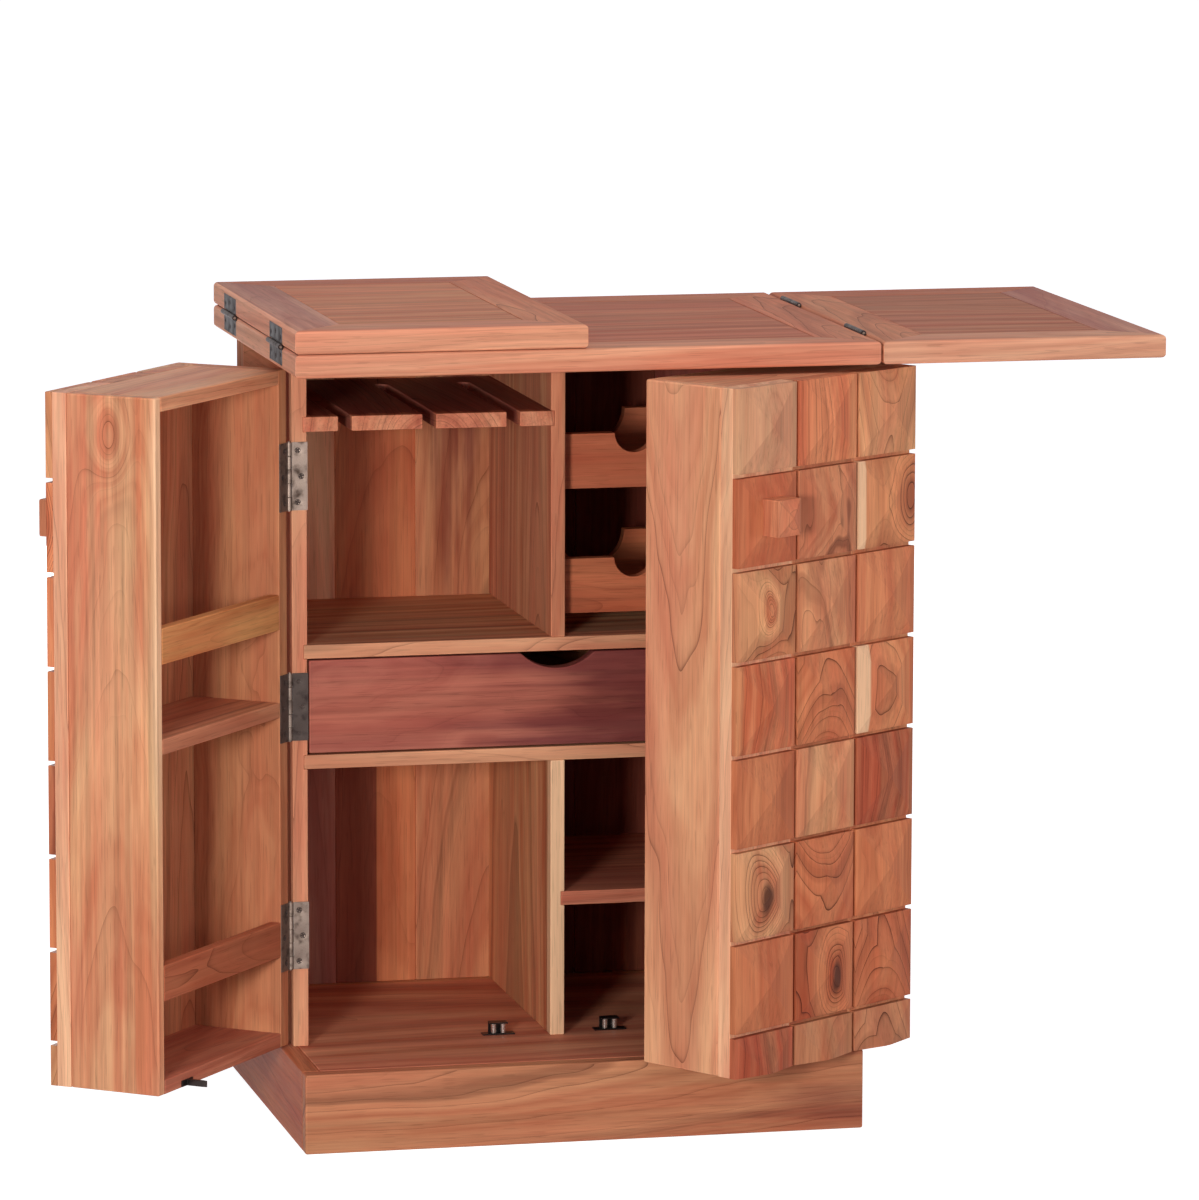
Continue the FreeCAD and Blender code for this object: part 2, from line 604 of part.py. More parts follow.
FIXED_KNUCKLES = (0, 2)
MOVING_KNUCKLES = (1,)
carcass_leaves, top_leaves, pins = [], [], []
for side, toward in (("left", "+"), ("right", "-")):
    door_swing = LEFT_DOOR if side == "left" else RIGHT_DOOR
    leaf_swing = LEFT_LEAF if side == "left" else RIGHT_LEAF
    door_pin, seam_pin = door_swing.pin, leaf_swing.pin
    flat = HingeAxes(toward + "x", "+y", "+z")
    carcass_leaves.append(hinge_leaf(f"{side}_carcass_hinge_leaf", door_pin, flat,
                                     "door_gap / 2 - hinge_sheet", FIXED_KNUCKLES, DOOR_ROW))
    keep(hinge_leaf(f"{side}_door_hinge_leaves", ("0", "0", "0"), flat,
                    "-door_gap / 2", MOVING_KNUCKLES, DOOR_ROW, door_swing))
    down = HingeAxes("-z", toward + "x", "+y")
    up = HingeAxes("+z", toward + "x", "+y")
    top_leaves.append(hinge_leaf(f"{side}_top_hinge_leaf", seam_pin, down,
                                 "leaf_gap / 2", FIXED_KNUCKLES, SEAM_ROW))
    keep(hinge_leaf(f"{side}_leaf_hinge_leaves", ("0", "0", "0"), up,
                    "leaf_gap / 2", MOVING_KNUCKLES, SEAM_ROW, leaf_swing))
    pins.append(hinge_pin(f"{side}_door_pins", door_pin, "z", DOOR_ROW))
    pins.append(hinge_pin(f"{side}_seam_pins", seam_pin, "y", SEAM_ROW))
group("carcass_hinge_leaves", carcass_leaves)
group("top_hinge_leaves", top_leaves)
group("hinge_pins", pins)


# Doors: deep boxes, open to the carcass, with pyramid tiles outside
def across(side, start, length):
    """A span counted from the hinge edge, turned round for the right door."""
    return f"pin_offset + {start}" if side == "left" else f"-(pin_offset + {start}) - ({length})"


def door(side, swing):
    """One door in its closed frame, whose origin is the pin: -Y is the tiled outside."""
    def piece(name, across_door, outward, up_door):
        """A board by its spans, each a start and a length: from the hinge edge, the open side and the end."""
        (start, length), (inset, depth), (low, height) = across_door, outward, up_door
        return board(f"{side}_door_{name}",
                     (across(side, start, length), f"-door_gap / 2 - ({inset}) - ({depth})",
                      f"door_under + {low}"),
                     (length, depth, height), swing)

    full_height = ("0", "door_height")
    box_depth = ("0", "door_depth")
    inside = ("door_hinge_side", "door_inside")
    keep(piece("hinge_side", ("0", "door_hinge_side"), box_depth, full_height))
    keep(piece("free_side", ("door_width - door_free_side", "door_free_side"), box_depth, full_height))
    keep(piece("bottom", inside, box_depth, ("0", "door_cap")))
    keep(piece("top", inside, box_depth, ("door_height - door_cap", "door_cap")))
    keep(piece("shelf", inside, box_depth, (f"{side}_shelf", "door_shelf")))
    group(f"{side}_door_guards", [
        piece(f"{level}_guard", inside, ("0", "guard_thickness"), (f"{level}_guard", "guard_height"))
        for level in ("lower", "upper")])
    plank = "door_width / tile_columns"
    group(f"{side}_door_backing", [
        piece(f"plank_{number}", (f"{number} * {plank}", plank), ("door_depth", "door_backing"), full_height)
        for number in range(round(value("tile_columns")))])
    door_tiles(side, swing)
    door_knob(side, swing)
    door_striker(side, swing)


def pyramid(owner, name, corner, width, height, rise, flat):
    """A low four-sided pyramid rising towards -Y from a rectangle."""
    x, y, z = corner
    made = owner.newObject("PartDesign::AdditiveWedge", name)
    bind(made, Ymin=f"{y} - ({rise})", Ymax=y, X2min=x, X2max=f"{x} + {width}", Z2min=z,
         Z2max=f"{z} + {height}", Xmin=f"{x} + ({width} - {flat}) / 2", Xmax=f"{x} + ({width} + {flat}) / 2",
         Zmin=f"{z} + ({height} - {flat}) / 2", Zmax=f"{z} + ({height} + {flat}) / 2")
    return made


def knob_start(side):
    """The knob's lower corner along the door: it sits on the free edge's column, second row down."""
    start = across(side, "door_width - tile_width / 2 - knob_width / 2 - knob_over", "knob_width")
    return start, "door_under + door_height + tile_trim - tile_pitch - (tile_height + knob_height) / 2 + knob_up"


def door_tiles(side, swing):
    """Rows of tiles from the door's top down; the top row is trimmed and the lowest one sawn off."""
    columns = round(value("tile_columns"))
    rows = math.ceil(value("(door_height + tile_trim) / tile_pitch"))
    field = f"{rows - 1} * tile_pitch + tile_height"
    low = f"door_under + door_height + tile_trim - ({field})"
    tiles = keep(body(f"{side}_door_tiles", (across(side, "0", "door_width"), "-tile_face", low), swing))
    block = add_box(tiles, f"{side}_tile_block", ("0", "-tile_edge", "0"),
                    ("tile_width", "tile_edge", "tile_height"))
    point = pyramid(tiles, f"{side}_tile_pyramid", ("0", "-tile_edge", "0"), "tile_width", "tile_height",
                    "tile_rise", "tile_flat")
    grid = tiles.newObject("PartDesign::MultiTransform", f"{side}_tile_grid")
    grid.Originals = [block, point]
    grid.Transformations = [
        row_of(tiles, f"{side}_tile_columns", [], "X_Axis", columns,
               f"{columns - 1} * (tile_width + tile_groove)"),
        row_of(tiles, f"{side}_tile_rows", [], "Z_Axis", rows, f"{rows - 1} * tile_pitch")]
    tiles.Tip = grid
    spare = f"({field}) - door_height - tile_trim"
    if value(spare) > 0:
        cut_box(tiles, f"{side}_tile_saw_cut", ("0", "-tile_edge - tile_rise", "0"),
                ("door_width", "tile_edge + tile_rise", spare))
    if value("tile_trim") > 0:
        cut_box(tiles, f"{side}_tile_trim_cut", ("0", "-tile_edge - tile_rise", f"({field}) - tile_trim"),
                ("door_width", "tile_edge + tile_rise", "tile_trim"))
    x, z = knob_start(side)
    cut_box(tiles, f"{side}_knob_seat",
            (f"{x} - ({across(side, '0', 'door_width')})", "-tile_edge - tile_rise", f"{z} - ({low})"),
            ("knob_width", "tile_rise", "knob_height"))


def door_knob(side, swing):
    """A square knob with a low pyramid face, seated on a flat in its tile."""
    x, z = knob_start(side)
    knob = keep(body(f"{side}_door_knob", (x, "-tile_face - tile_edge", z), swing))
    add_box(knob, f"{side}_knob_block", ("0", "-knob_length + knob_rise", "0"),
            ("knob_width", "knob_length - knob_rise", "knob_height"))
    pyramid(knob, f"{side}_knob_pyramid", ("0", "-knob_length + knob_rise", "0"), "knob_width", "knob_height",
            "knob_rise", "tile_flat")


def door_striker(side, swing):
    """A plate on the bottom board's open edge, with a tapered tongue that enters the roller catch."""
    lean = "striker_reach" if side == "left" else "-striker_reach"
    keep(plate(
        f"{side}_door_striker",
        (f"{lean} - striker_plate / 2", "-door_gap / 2", "plinth_height + striker_lift"),
        (("0", "0"), ("striker_plate", "0"), ("striker_plate", "hinge_sheet"),
         ("striker_plate / 2 + striker_thickness / 2", "hinge_sheet"),
         ("striker_plate / 2 + striker_thickness / 2", "striker_length - striker_taper"),
         ("striker_plate / 2 + striker_thickness / 6", "striker_length"),
         ("striker_plate / 2 - striker_thickness / 6", "striker_length"),
         ("striker_plate / 2 - striker_thickness / 2", "striker_length - striker_taper"),
         ("striker_plate / 2 - striker_thickness / 2", "hinge_sheet"),
         ("0", "hinge_sheet")),
        "striker_height", swing))


door("left", LEFT_DOOR)
door("right", RIGHT_DOOR)


# Roller catches on the floor panel: a sheet housing open at the front, two posts and two rollers
def catch(side):
    middle = "-catch_spread" if side == "left" else "catch_spread"
    housing = body(f"{side}_catch_housing", (f"{middle} - catch_width / 2", "catch_front", "plinth_height"))
    add_box(housing, f"{side}_catch_base", ("-catch_ear", "0", "0"),
            ("catch_width + 2 * catch_ear", "catch_depth", "catch_sheet"))
    add_box(housing, f"{side}_catch_back", ("0", "catch_depth - catch_sheet", "0"),
            ("catch_width", "catch_sheet", "catch_height"))
    add_box(housing, f"{side}_catch_roof", ("0", "0", "catch_height - catch_sheet"),
            ("catch_width", "catch_depth", "catch_sheet"))
    for number, offset in enumerate(("-roller_offset", "roller_offset")):
        round_bar(housing, "Additive", f"{side}_post_{number}",
                  (f"catch_width / 2 + {offset}", "roller_radius + catch_sheet", "0"),
                  "roller_post", "catch_height", "z")
        roller = keep(body(f"{side}_catch_roller_{number + 1}",
                           (f"{middle} + {offset}", "catch_front + roller_radius + catch_sheet",
                            "plinth_height + catch_sheet + roller_play")))
        round_bar(roller, "Additive", f"{side}_roller_{number}_drum", ("0", "0", "0"),
                  "roller_radius", "roller_height", "z")
        round_bar(roller, "Subtractive", f"{side}_roller_{number}_bore", ("0", "0", "0"),
                  "roller_post + pin_clearance", "roller_height", "z")
    return housing


group("catch_housings", [catch("left"), catch("right")])

# Build, test and write every sub-part
doc.recompute()
for made in doc.Objects:
    if "Invalid" in made.State or "Error" in made.State:
        raise RuntimeError(f"{made.Label} did not build: {made.State}")
os.makedirs("parts", exist_ok=True)
for part in parts:
    shape = part.Shape
    if shape.isNull() or not shape.isValid() or not shape.Solids:
        raise RuntimeError(f"{part.Label} has no valid solid")
    shape.exportStep(f"parts/{part.Label}.step")
print(f"{len(parts)} sub-parts, {sum(len(part.Shape.Solids) for part in parts)} solids")
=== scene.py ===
# %% [markdown]
# This lesson dresses a bar armoire in solid acacia. The joiner's sizes come from the frame, a packed
# CAD model in which every board is already in its place, so nothing here moves a board or makes it
# bigger. What is added is what a camera sees: softened edges, the figure of the wood, the steel of
# the hinges, the light of a studio.

# %% The frame
import json
import math
import zlib

import bmesh
import bpy
import numpy as np
from mathutils import Matrix, Vector

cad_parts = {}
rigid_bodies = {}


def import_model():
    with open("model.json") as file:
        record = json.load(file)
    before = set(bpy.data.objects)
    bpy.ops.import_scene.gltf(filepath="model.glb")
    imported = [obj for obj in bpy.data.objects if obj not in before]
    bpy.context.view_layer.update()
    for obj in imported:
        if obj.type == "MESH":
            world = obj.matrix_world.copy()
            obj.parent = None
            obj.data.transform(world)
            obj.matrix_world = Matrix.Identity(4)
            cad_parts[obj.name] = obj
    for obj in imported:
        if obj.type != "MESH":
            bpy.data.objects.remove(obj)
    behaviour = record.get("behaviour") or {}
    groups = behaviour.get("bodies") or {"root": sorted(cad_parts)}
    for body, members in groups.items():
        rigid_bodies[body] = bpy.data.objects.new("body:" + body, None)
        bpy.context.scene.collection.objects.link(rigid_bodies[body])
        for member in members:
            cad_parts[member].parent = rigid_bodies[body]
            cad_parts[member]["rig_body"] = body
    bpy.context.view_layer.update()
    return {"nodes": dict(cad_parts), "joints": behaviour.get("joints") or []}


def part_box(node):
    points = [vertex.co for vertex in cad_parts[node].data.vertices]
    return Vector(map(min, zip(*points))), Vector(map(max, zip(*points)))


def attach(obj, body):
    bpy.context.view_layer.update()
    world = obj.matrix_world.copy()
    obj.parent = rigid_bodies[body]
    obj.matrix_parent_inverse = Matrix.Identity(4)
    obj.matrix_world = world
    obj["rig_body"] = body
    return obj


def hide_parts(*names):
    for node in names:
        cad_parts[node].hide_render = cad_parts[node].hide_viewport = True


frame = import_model()
MM = 0.001

# %% [markdown]
# A node of the frame may hold several boards, such as the six planks of the back. To give each plank
# its own grain, the boards are told apart first. Two boards that touch share corner points, so
# walking over shared points would run on from one into the next. Instead the triangles are read in
# their order and counted as a book-keeper counts: each edge of a closed board is walked once each
# way, so a number per edge, added one way and taken off the other, sums to nought exactly where a
# board is complete.

# %% Boards of a node
WELD = 0.01 * MM
EDGE_SEED = 7
EDGE_NUMBERS = 2**40


def values(rows, key, width=1, kind=np.float32):
    """One value, or one row of values, for each of a mesh's points, corners or faces."""
    found = np.empty(len(rows) * width, kind)
    rows.foreach_get(key, found)
    return found.reshape(-1, width) if width > 1 else found


def boards_of(node):
    """Welded corners, triangles and board number of each triangle of a CAD node.

    The running sum of signed edge numbers over the triangles is nought where a board ends. Corners
    are then welded board by board, so two boards that touch stay apart."""
    mesh = frame["nodes"][node].data
    corners = values(mesh.vertices, "co", 3)
    mesh.calc_loop_triangles()
    triangles = values(mesh.loop_triangles, "vertices", 3, np.int32)
    spot = np.unique(np.round(corners / WELD), axis=0, return_inverse=True)[1].ravel()
    start = spot[triangles]
    end = np.roll(start, -1, axis=1)
    pairs = np.stack((np.minimum(start, end), np.maximum(start, end)), axis=-1).reshape(-1, 2)
    edge = np.unique(pairs, axis=0, return_inverse=True)[1].reshape(start.shape)
    number = np.random.default_rng(EDGE_SEED).integers(1, EDGE_NUMBERS, edge.max() + 1)
    balance = np.cumsum((np.where(start < end, 1, -1) * number[edge]).sum(axis=1))
    board = np.concatenate(([0], np.cumsum(balance[:-1] == 0)))
    own = np.column_stack((np.repeat(board, 3), start.ravel()))
    first, welded = np.unique(own, axis=0, return_index=True, return_inverse=True)[1:]
    return corners[triangles.ravel()[first]], welded.reshape(-1, 3), board


print("back:", boards_of("back_planks")[2].max() + 1, "planks")

# %% [markdown]
# Grain has a direction, and it must turn with a door. It could be read off the door as it stands
# open, but no board is square to the axes there. So each door is swung shut in thought, by its own
# joint, and then the longest side of a board gives the direction of its grain. The positions measured
# in that way are stored on the points of the board.

# %% Doors shut in thought
JOINTS = {joint["child"]: joint for joint in frame["joints"]}


def shut(points, body, back=False, turn_only=False):
    """Points of a body with its hinge turned to its lower limit, where every board lies square, or
    such points turned back; directions are only turned."""
    joint = JOINTS.get(body, {})
    if "range_deg" not in joint:
        return points
    turn = np.array(Matrix.Rotation(math.radians(joint["range_deg"][0]), 3, joint["axis"]))
    pin = np.zeros(3) if turn_only else np.array(joint["pos_m"])
    return (points - pin) @ (turn if back else turn.T) + pin


print("doors shut by", [JOINTS[door]["range_deg"][0] for door in ("left_door", "right_door")])

# %% [markdown]
# A machined board never has a knife-sharp edge: the maker breaks each one with sandpaper, and that
# thin bright line is what makes wood look real. A Bevel modifier does it, once the flat triangles
# are joined into whole faces. Hardened normals keep the flats flat. The bevel's own faces are
# remembered in an attribute and painted lighter in the finish: partly the polish that hands and
# dusters give exactly those edges, partly a painted highlight along them. A wide bevel on the ends
# of the top boards would stumble over their mortises, so these are rounded over as a router does
# it: cut across in a few places, then lowered there along a quarter of a circle.

# %% Softened edges
FLAT = math.radians(1)
SHARP = 30
BEVEL_STEPS = 2
RUBBED_AND_HIGHLIT_BELOW = 0.96
NARROW = 60 * MM**2
ROUND_OVER = 5 * MM
ROUND_STEPS = np.radians((22.5, 45.0, 67.5, 90.0))


def carry(mesh, name, domain, value):
    """Stores a number, or a vector of three, on each point or face of a mesh."""
    kind, key = ("FLOAT_VECTOR", "vector") if value.ndim == 2 else ("FLOAT", "value")
    numbers = value.astype(np.float32).ravel()
    mesh.attributes.new(name, kind, domain).data.foreach_set(key, numbers)


def round_over(mesh, ends, radius):
    """Rounds the upper and lower edges of a board's ends, which lie at the X of each end: a point
    that is deeper than the radius stays; nearer to the end, up and down shrink by the radius less
    the root of radius squared minus the lack of depth squared."""
    work = bmesh.new()
    work.from_mesh(mesh)
    middle = sum(ends) / len(ends)
    for end in ends:
        for turn in ROUND_STEPS:
            across = end + math.copysign(radius * (1 - math.cos(turn)), middle - end)
            everything = [*work.verts, *work.edges, *work.faces]
            bmesh.ops.bisect_plane(
                work, geom=everything, plane_co=(across, 0, 0), plane_no=(1, 0, 0))
    work.to_mesh(mesh)
    work.free()
    points = values(mesh.vertices, "co", 3)
    low, high = points[:, 2].min(), points[:, 2].max()
    depth = np.abs(points[:, :1] - np.array(ends)).min(axis=1)
    lack = np.clip(radius - depth, 0, radius)
    drop = radius - np.sqrt(radius**2 - lack**2)
    points[:, 2] = np.clip(points[:, 2], low + drop, high - drop)
    mesh.vertices.foreach_set("co", points.ravel())
    mesh.attributes.remove(mesh.attributes["custom_normal"])
    mesh.polygons.foreach_set("use_smooth", np.zeros(len(mesh.polygons), bool))
    mesh.update()


def softened(node, radius, sharp_from=SHARP, ends=(), ridge=0.0):
    """A copy of a CAD node's boards with every edge sharper than an angle rounded to a radius.

    ends lists the X places of ends that are rounded over. The result carries the board number and
    a worn value on its faces: 1 where a rounding slopes away from all the flats, and as told where
    it is the narrow face along a low ridge."""
    corners, triangles, board = boards_of(node)
    mesh = bpy.data.meshes.new(node + "_flats")
    mesh.from_pydata(corners, [], triangles)
    numbers = mesh.attributes.new("board", "INT", "FACE")
    numbers.data.foreach_set("value", board.astype(np.int32))
    flats = bmesh.new()
    flats.from_mesh(mesh)
    bmesh.ops.dissolve_limit(flats, angle_limit=FLAT, verts=flats.verts, edges=flats.edges)
    flats.to_mesh(mesh)
    flats.free()
    mesh.polygons.foreach_set("use_smooth", np.ones(len(mesh.polygons), bool))
    blank = bpy.data.objects.new(node + "_blank", mesh)
    bpy.context.scene.collection.objects.link(blank)
    bevel = blank.modifiers.new("softened", "BEVEL")
    bevel.width = radius
    bevel.segments = BEVEL_STEPS
    bevel.angle_limit = math.radians(sharp_from)
    bevel.harden_normals = True
    evaluated = blank.evaluated_get(bpy.context.evaluated_depsgraph_get())
    finished = bpy.data.meshes.new_from_object(evaluated)
    bpy.data.objects.remove(blank)
    bpy.data.meshes.remove(mesh)
    if ends:
        round_over(finished, ends, ROUND_OVER)
    normals = values(finished.polygons, "normal", 3).astype(float)
    square = np.abs(shut(normals, frame["nodes"][node]["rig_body"], turn_only=True))
    narrow = values(finished.polygons, "area") < NARROW
    # Faces that lean over get a lighter colour in the finish: partly wear, partly a painted
    # highlight.
    carry(finished, "rubbed_and_highlit", "FACE", np.where(square.max(axis=1) < RUBBED_AND_HIGHLIT_BELOW, 1, ridge * narrow))
    return finished


print("worn where a face leans over", round(math.degrees(math.acos(RUBBED_AND_HIGHLIT_BELOW))), "degrees")

# %% [markdown]
# Every board has its own history: which tone the tree had, how far from the pith it was sawn,
# whether a knot or a strip of pale sapwood runs through it. A material for each board could tell
# that, but there are more than a hundred boards, so one material reads it from the board instead. A
# cut is a small dictionary of those facts. Tones are multipliers of the plain acacia colour, so a red
# or a grey board still belongs to the same family. Left open, a fact is drawn from the board's own
# name, and so it is the same in each run.

# %% Cuts and tones
TONES = {
    "orange": (0.99, 0.86, 0.80),
    "salmon": (1.06, 1.06, 1.08),
    "pink": (1.09, 1.15, 1.22),
    "rosy": (1.26, 1.40, 1.54),
    "pale": (1.12, 1.18, 1.16),
    "tan": (1.00, 0.95, 0.87),
    "gold": (1.14, 1.06, 0.94),
    "honey": (1.00, 0.90, 0.78),
    "amber": (1.02, 0.79, 0.68),
    "rust": (0.92, 0.64, 0.54),
    "brick": (0.80, 0.53, 0.45),
    "grey": (1.00, 1.12, 1.14),
    "brown": (0.82, 0.72, 0.66),
    "umber": (0.88, 0.78, 0.80),
    "russet": (0.86, 0.68, 0.64),
    "rose": (0.90, 0.74, 0.78),
    "red": (0.72, 0.47, 0.43),
    "plum": (0.76, 0.54, 0.60),
    "mahogany": (0.74, 0.65, 0.62),
    "straw": (0.98, 0.95, 0.68),
}


def cut(tone, along=None, pith=None, slope=0.04, knot=None, sap=None, dark_wood_and_shade=None, dark_and_shade_strip=None,
        rings=0.8, smoke=0.25, streaks=0.5, curl=0.3):
    """How a board was sawn. along: the axis of the grain, or the longest side. pith: how far the
    heart of the tree lies across and behind the board's middle, in metres. slope: how steeply the
    rings climb through the board. knot: its place along and across the board, as shares of it, its
    size in metres and how dark its core is. sap: which side is sapwood, what share of the width, and
    how soft its border is, in metres. dusk: where along the board it begins to turn dark, and where
    it is quite dark, as shares of its length from the middle. dark_and_shade_strip: the strip that the dark
    keeps to, given as sapwood is. rings, smoke, streaks and curl: strength of the growth rings, of
    dark mineral streaks, of fine stripes, and of the grain's wandering over a hand's width."""
    # The darkening along a board, and its strip, stands for darker wood on some boards and for
    # painted shade on others.
    return dict(tone=tone, along=along, pith=pith, slope=slope, knot=knot, sap=sap, dark_wood_and_shade=dark_wood_and_shade,
                dark_and_shade_strip=dark_and_shade_strip, rings=rings, smoke=smoke, streaks=streaks, curl=curl)


print("tones:", ", ".join(TONES))

# %% [markdown]
# The facts of a cut become numbers on the points of its board. They are all straight functions of the
# place on the board, because Blender draws a straight line between the points of a face, and a
# board's faces are as large as the board.

# %% Grain of a board
CURL = 0.03
FAR = 9.0
PITH_ASIDE = 0.6
PITH_BEHIND = (0.02, 0.09)
TREE = 20.0
TONE_SPREAD = 0.06
KNOT_STRETCH = (0.5, 1.0, 0.0)


def grain_of(points, seed, how):
    """What one shut board carries on its points, one row for each of them.

    The board's middle is the origin; the axes are put in the order along, across, through; the
    grain is counted from the pith, and shifted far along the tree so that no two boards match. A
    strip is the distance past its border, in widths of that border; dusk is the share of the way
    from where it begins to where it is full."""
    draw = np.random.default_rng(seed)
    low, high = points.min(axis=0), points.max(axis=0)
    size = high - low
    along = int(np.argmax(size)) if how["along"] is None else how["along"]
    rest = sorted((axis for axis in range(3) if axis != along), key=lambda axis: -size[axis])
    order = [along] + rest
    place = (points - (low + high) / 2)[:, order]
    length, width = size[order[0]], size[order[1]]
    drawn = (draw.uniform(-PITH_ASIDE, PITH_ASIDE) * width,
             draw.choice((-1, 1)) * draw.uniform(*PITH_BEHIND))
    across, behind = how["pith"] or drawn
    shift = draw.uniform(-TREE, TREE)
    knot = np.full((len(points), 3), FAR)
    if how["knot"]:
        share_along, share_across, reach, core = how["knot"]
        eye = (share_along * length, share_across * width, 0)
        knot = (place - eye) * KNOT_STRETCH / reach + (0, 0, core)
    strips = {}
    for strip, nowhere in (("sap", -FAR), ("dark_and_shade_strip", FAR)):
        strips[strip] = np.full(len(points), nowhere)
        if how[strip]:
            side, share, border = how[strip]
            strips[strip] = (side * place[:, 1] - (0.5 - share) * width) / border
    dark_wood_and_shade = np.full(len(points), -FAR)
    if how["dark_wood_and_shade"]:
        begins, ends = how["dark_wood_and_shade"]
        dark_wood_and_shade = (place[:, 0] / length - begins) / (ends - begins)
    tint = np.array(TONES[how["tone"]]) * (1 + draw.uniform(-TONE_SPREAD, TONE_SPREAD))
    rows = np.ones((len(points), 1))
    return {
        "grain": place - (shift, across, behind), "knot": knot, "dark_wood_and_shade": dark_wood_and_shade, **strips,
        "tint": rows * tint, "figure": rows * (how["rings"], how["smoke"], how["streaks"]),
        "curl": rows[:, 0] * how["curl"] * CURL, "climb": place[:, 0] * how["slope"]}


plain_board = np.array([(x, y, z) for x in (0, 0.9) for y in (0, 0.1) for z in (0, 0.02)])
print("a board carries:", ", ".join(grain_of(plain_board, 0, cut("tan"))))

# %% [markdown]
# Now a piece can be dressed: softened copy, grain on every point, a finish, and the body that it
# moves with. The cuts are handed out from the top down, from left to right and from front to back,
# as a maker lays the boards out on the floor.

# %% Dressing a node
CRISP, SANDED, EASED, ROUNDED = 0.8 * MM, 1.2 * MM, 1.5 * MM, 2 * MM
NEAREST = 5 * MM


def laid_out(middles):
    """Order of boards by place: top down, then left to right, then front to back, with places
    rounded so that boards in one row count as level."""
    step = np.round(middles / NEAREST)
    return np.lexsort((step[:, 1], step[:, 0], -step[:, 2]))


def own_piece(mesh, name, finish, node):
    """An object of the finished mesh that stands for a CAD node and moves with its body."""
    mesh.name = name
    mesh.materials.clear()
    mesh.materials.append(finish)
    piece = bpy.data.objects.new(name, mesh)
    bpy.context.scene.collection.objects.link(piece)
    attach(piece, frame["nodes"][node]["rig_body"])
    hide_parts(node)


def dress(node, finish, cuts, radius=SANDED, sharp_from=SHARP, ends=(), ridge=0.0):
    """Puts the looks of wood on a CAD node: one cut for each of its boards, used again from the
    first when there are more boards than cuts."""
    mesh = softened(node, radius, sharp_from, ends, ridge)
    points = values(mesh.vertices, "co", 3)
    square = shut(points.astype(float), frame["nodes"][node]["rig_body"])
    face_board = values(mesh.attributes["board"].data, "value", kind=np.int32)
    counts = values(mesh.polygons, "loop_total", kind=np.int32)
    board = np.zeros(len(points), np.int32)
    board[values(mesh.loops, "vertex_index", kind=np.int32)] = np.repeat(face_board, counts)
    boards = [board == number for number in range(board.max() + 1)]
    middles = [(square[own].min(axis=0) + square[own].max(axis=0)) / 2 for own in boards]
    rows = {}
    for rank, number in enumerate(laid_out(np.array(middles))):
        own = boards[number]
        seed = zlib.crc32(f"{node} {rank}".encode())
        for name, value in grain_of(square[own], seed, cuts[rank % len(cuts)]).items():
            blank = np.zeros((len(points),) + value.shape[1:], np.float32)
            rows.setdefault(name, blank)[own] = value
    for name, value in rows.items():
        carry(mesh, name, "POINT", value)
    print("dressed", node, "boards", len(boards), "faces", len(mesh.polygons))
    own_piece(mesh, node + "_wood", finish, node)


print("edges from", CRISP / MM, "to", ROUNDED / MM, "mm")

# %% [markdown]
# A finish is a network of nodes, and long networks are hard to read when every sum is three lines.
# A small class wraps a socket so that Python's own signs build the Math nodes, and one method makes
# any other node: its type, its settings, then what its sockets take.

# %% Sums on sockets
class Socket:
    """An output socket that Python can do sums with: each sign adds one Math node."""

    def __init__(self, finish, socket):
        self.finish = finish
        self.socket = socket

    def math(self, operation, first, second=0.0):
        return self.finish.node("ShaderNodeMath", {"operation": operation}, {0: first, 1: second})

    def __add__(self, other):
        return self.math("ADD", self, other)

    def __sub__(self, other):
        return self.math("SUBTRACT", self, other)

    def __mul__(self, other):
        return self.math("MULTIPLY", self, other)

    def __truediv__(self, other):
        return self.math("DIVIDE", self, other)

    def __pow__(self, other):
        return self.math("POWER", self, other)

    def __rsub__(self, other):
        return self.math("SUBTRACT", other, self)

    def __neg__(self):
        return self.math("MULTIPLY", self, -1.0)

    __radd__ = __add__
    __rmul__ = __mul__


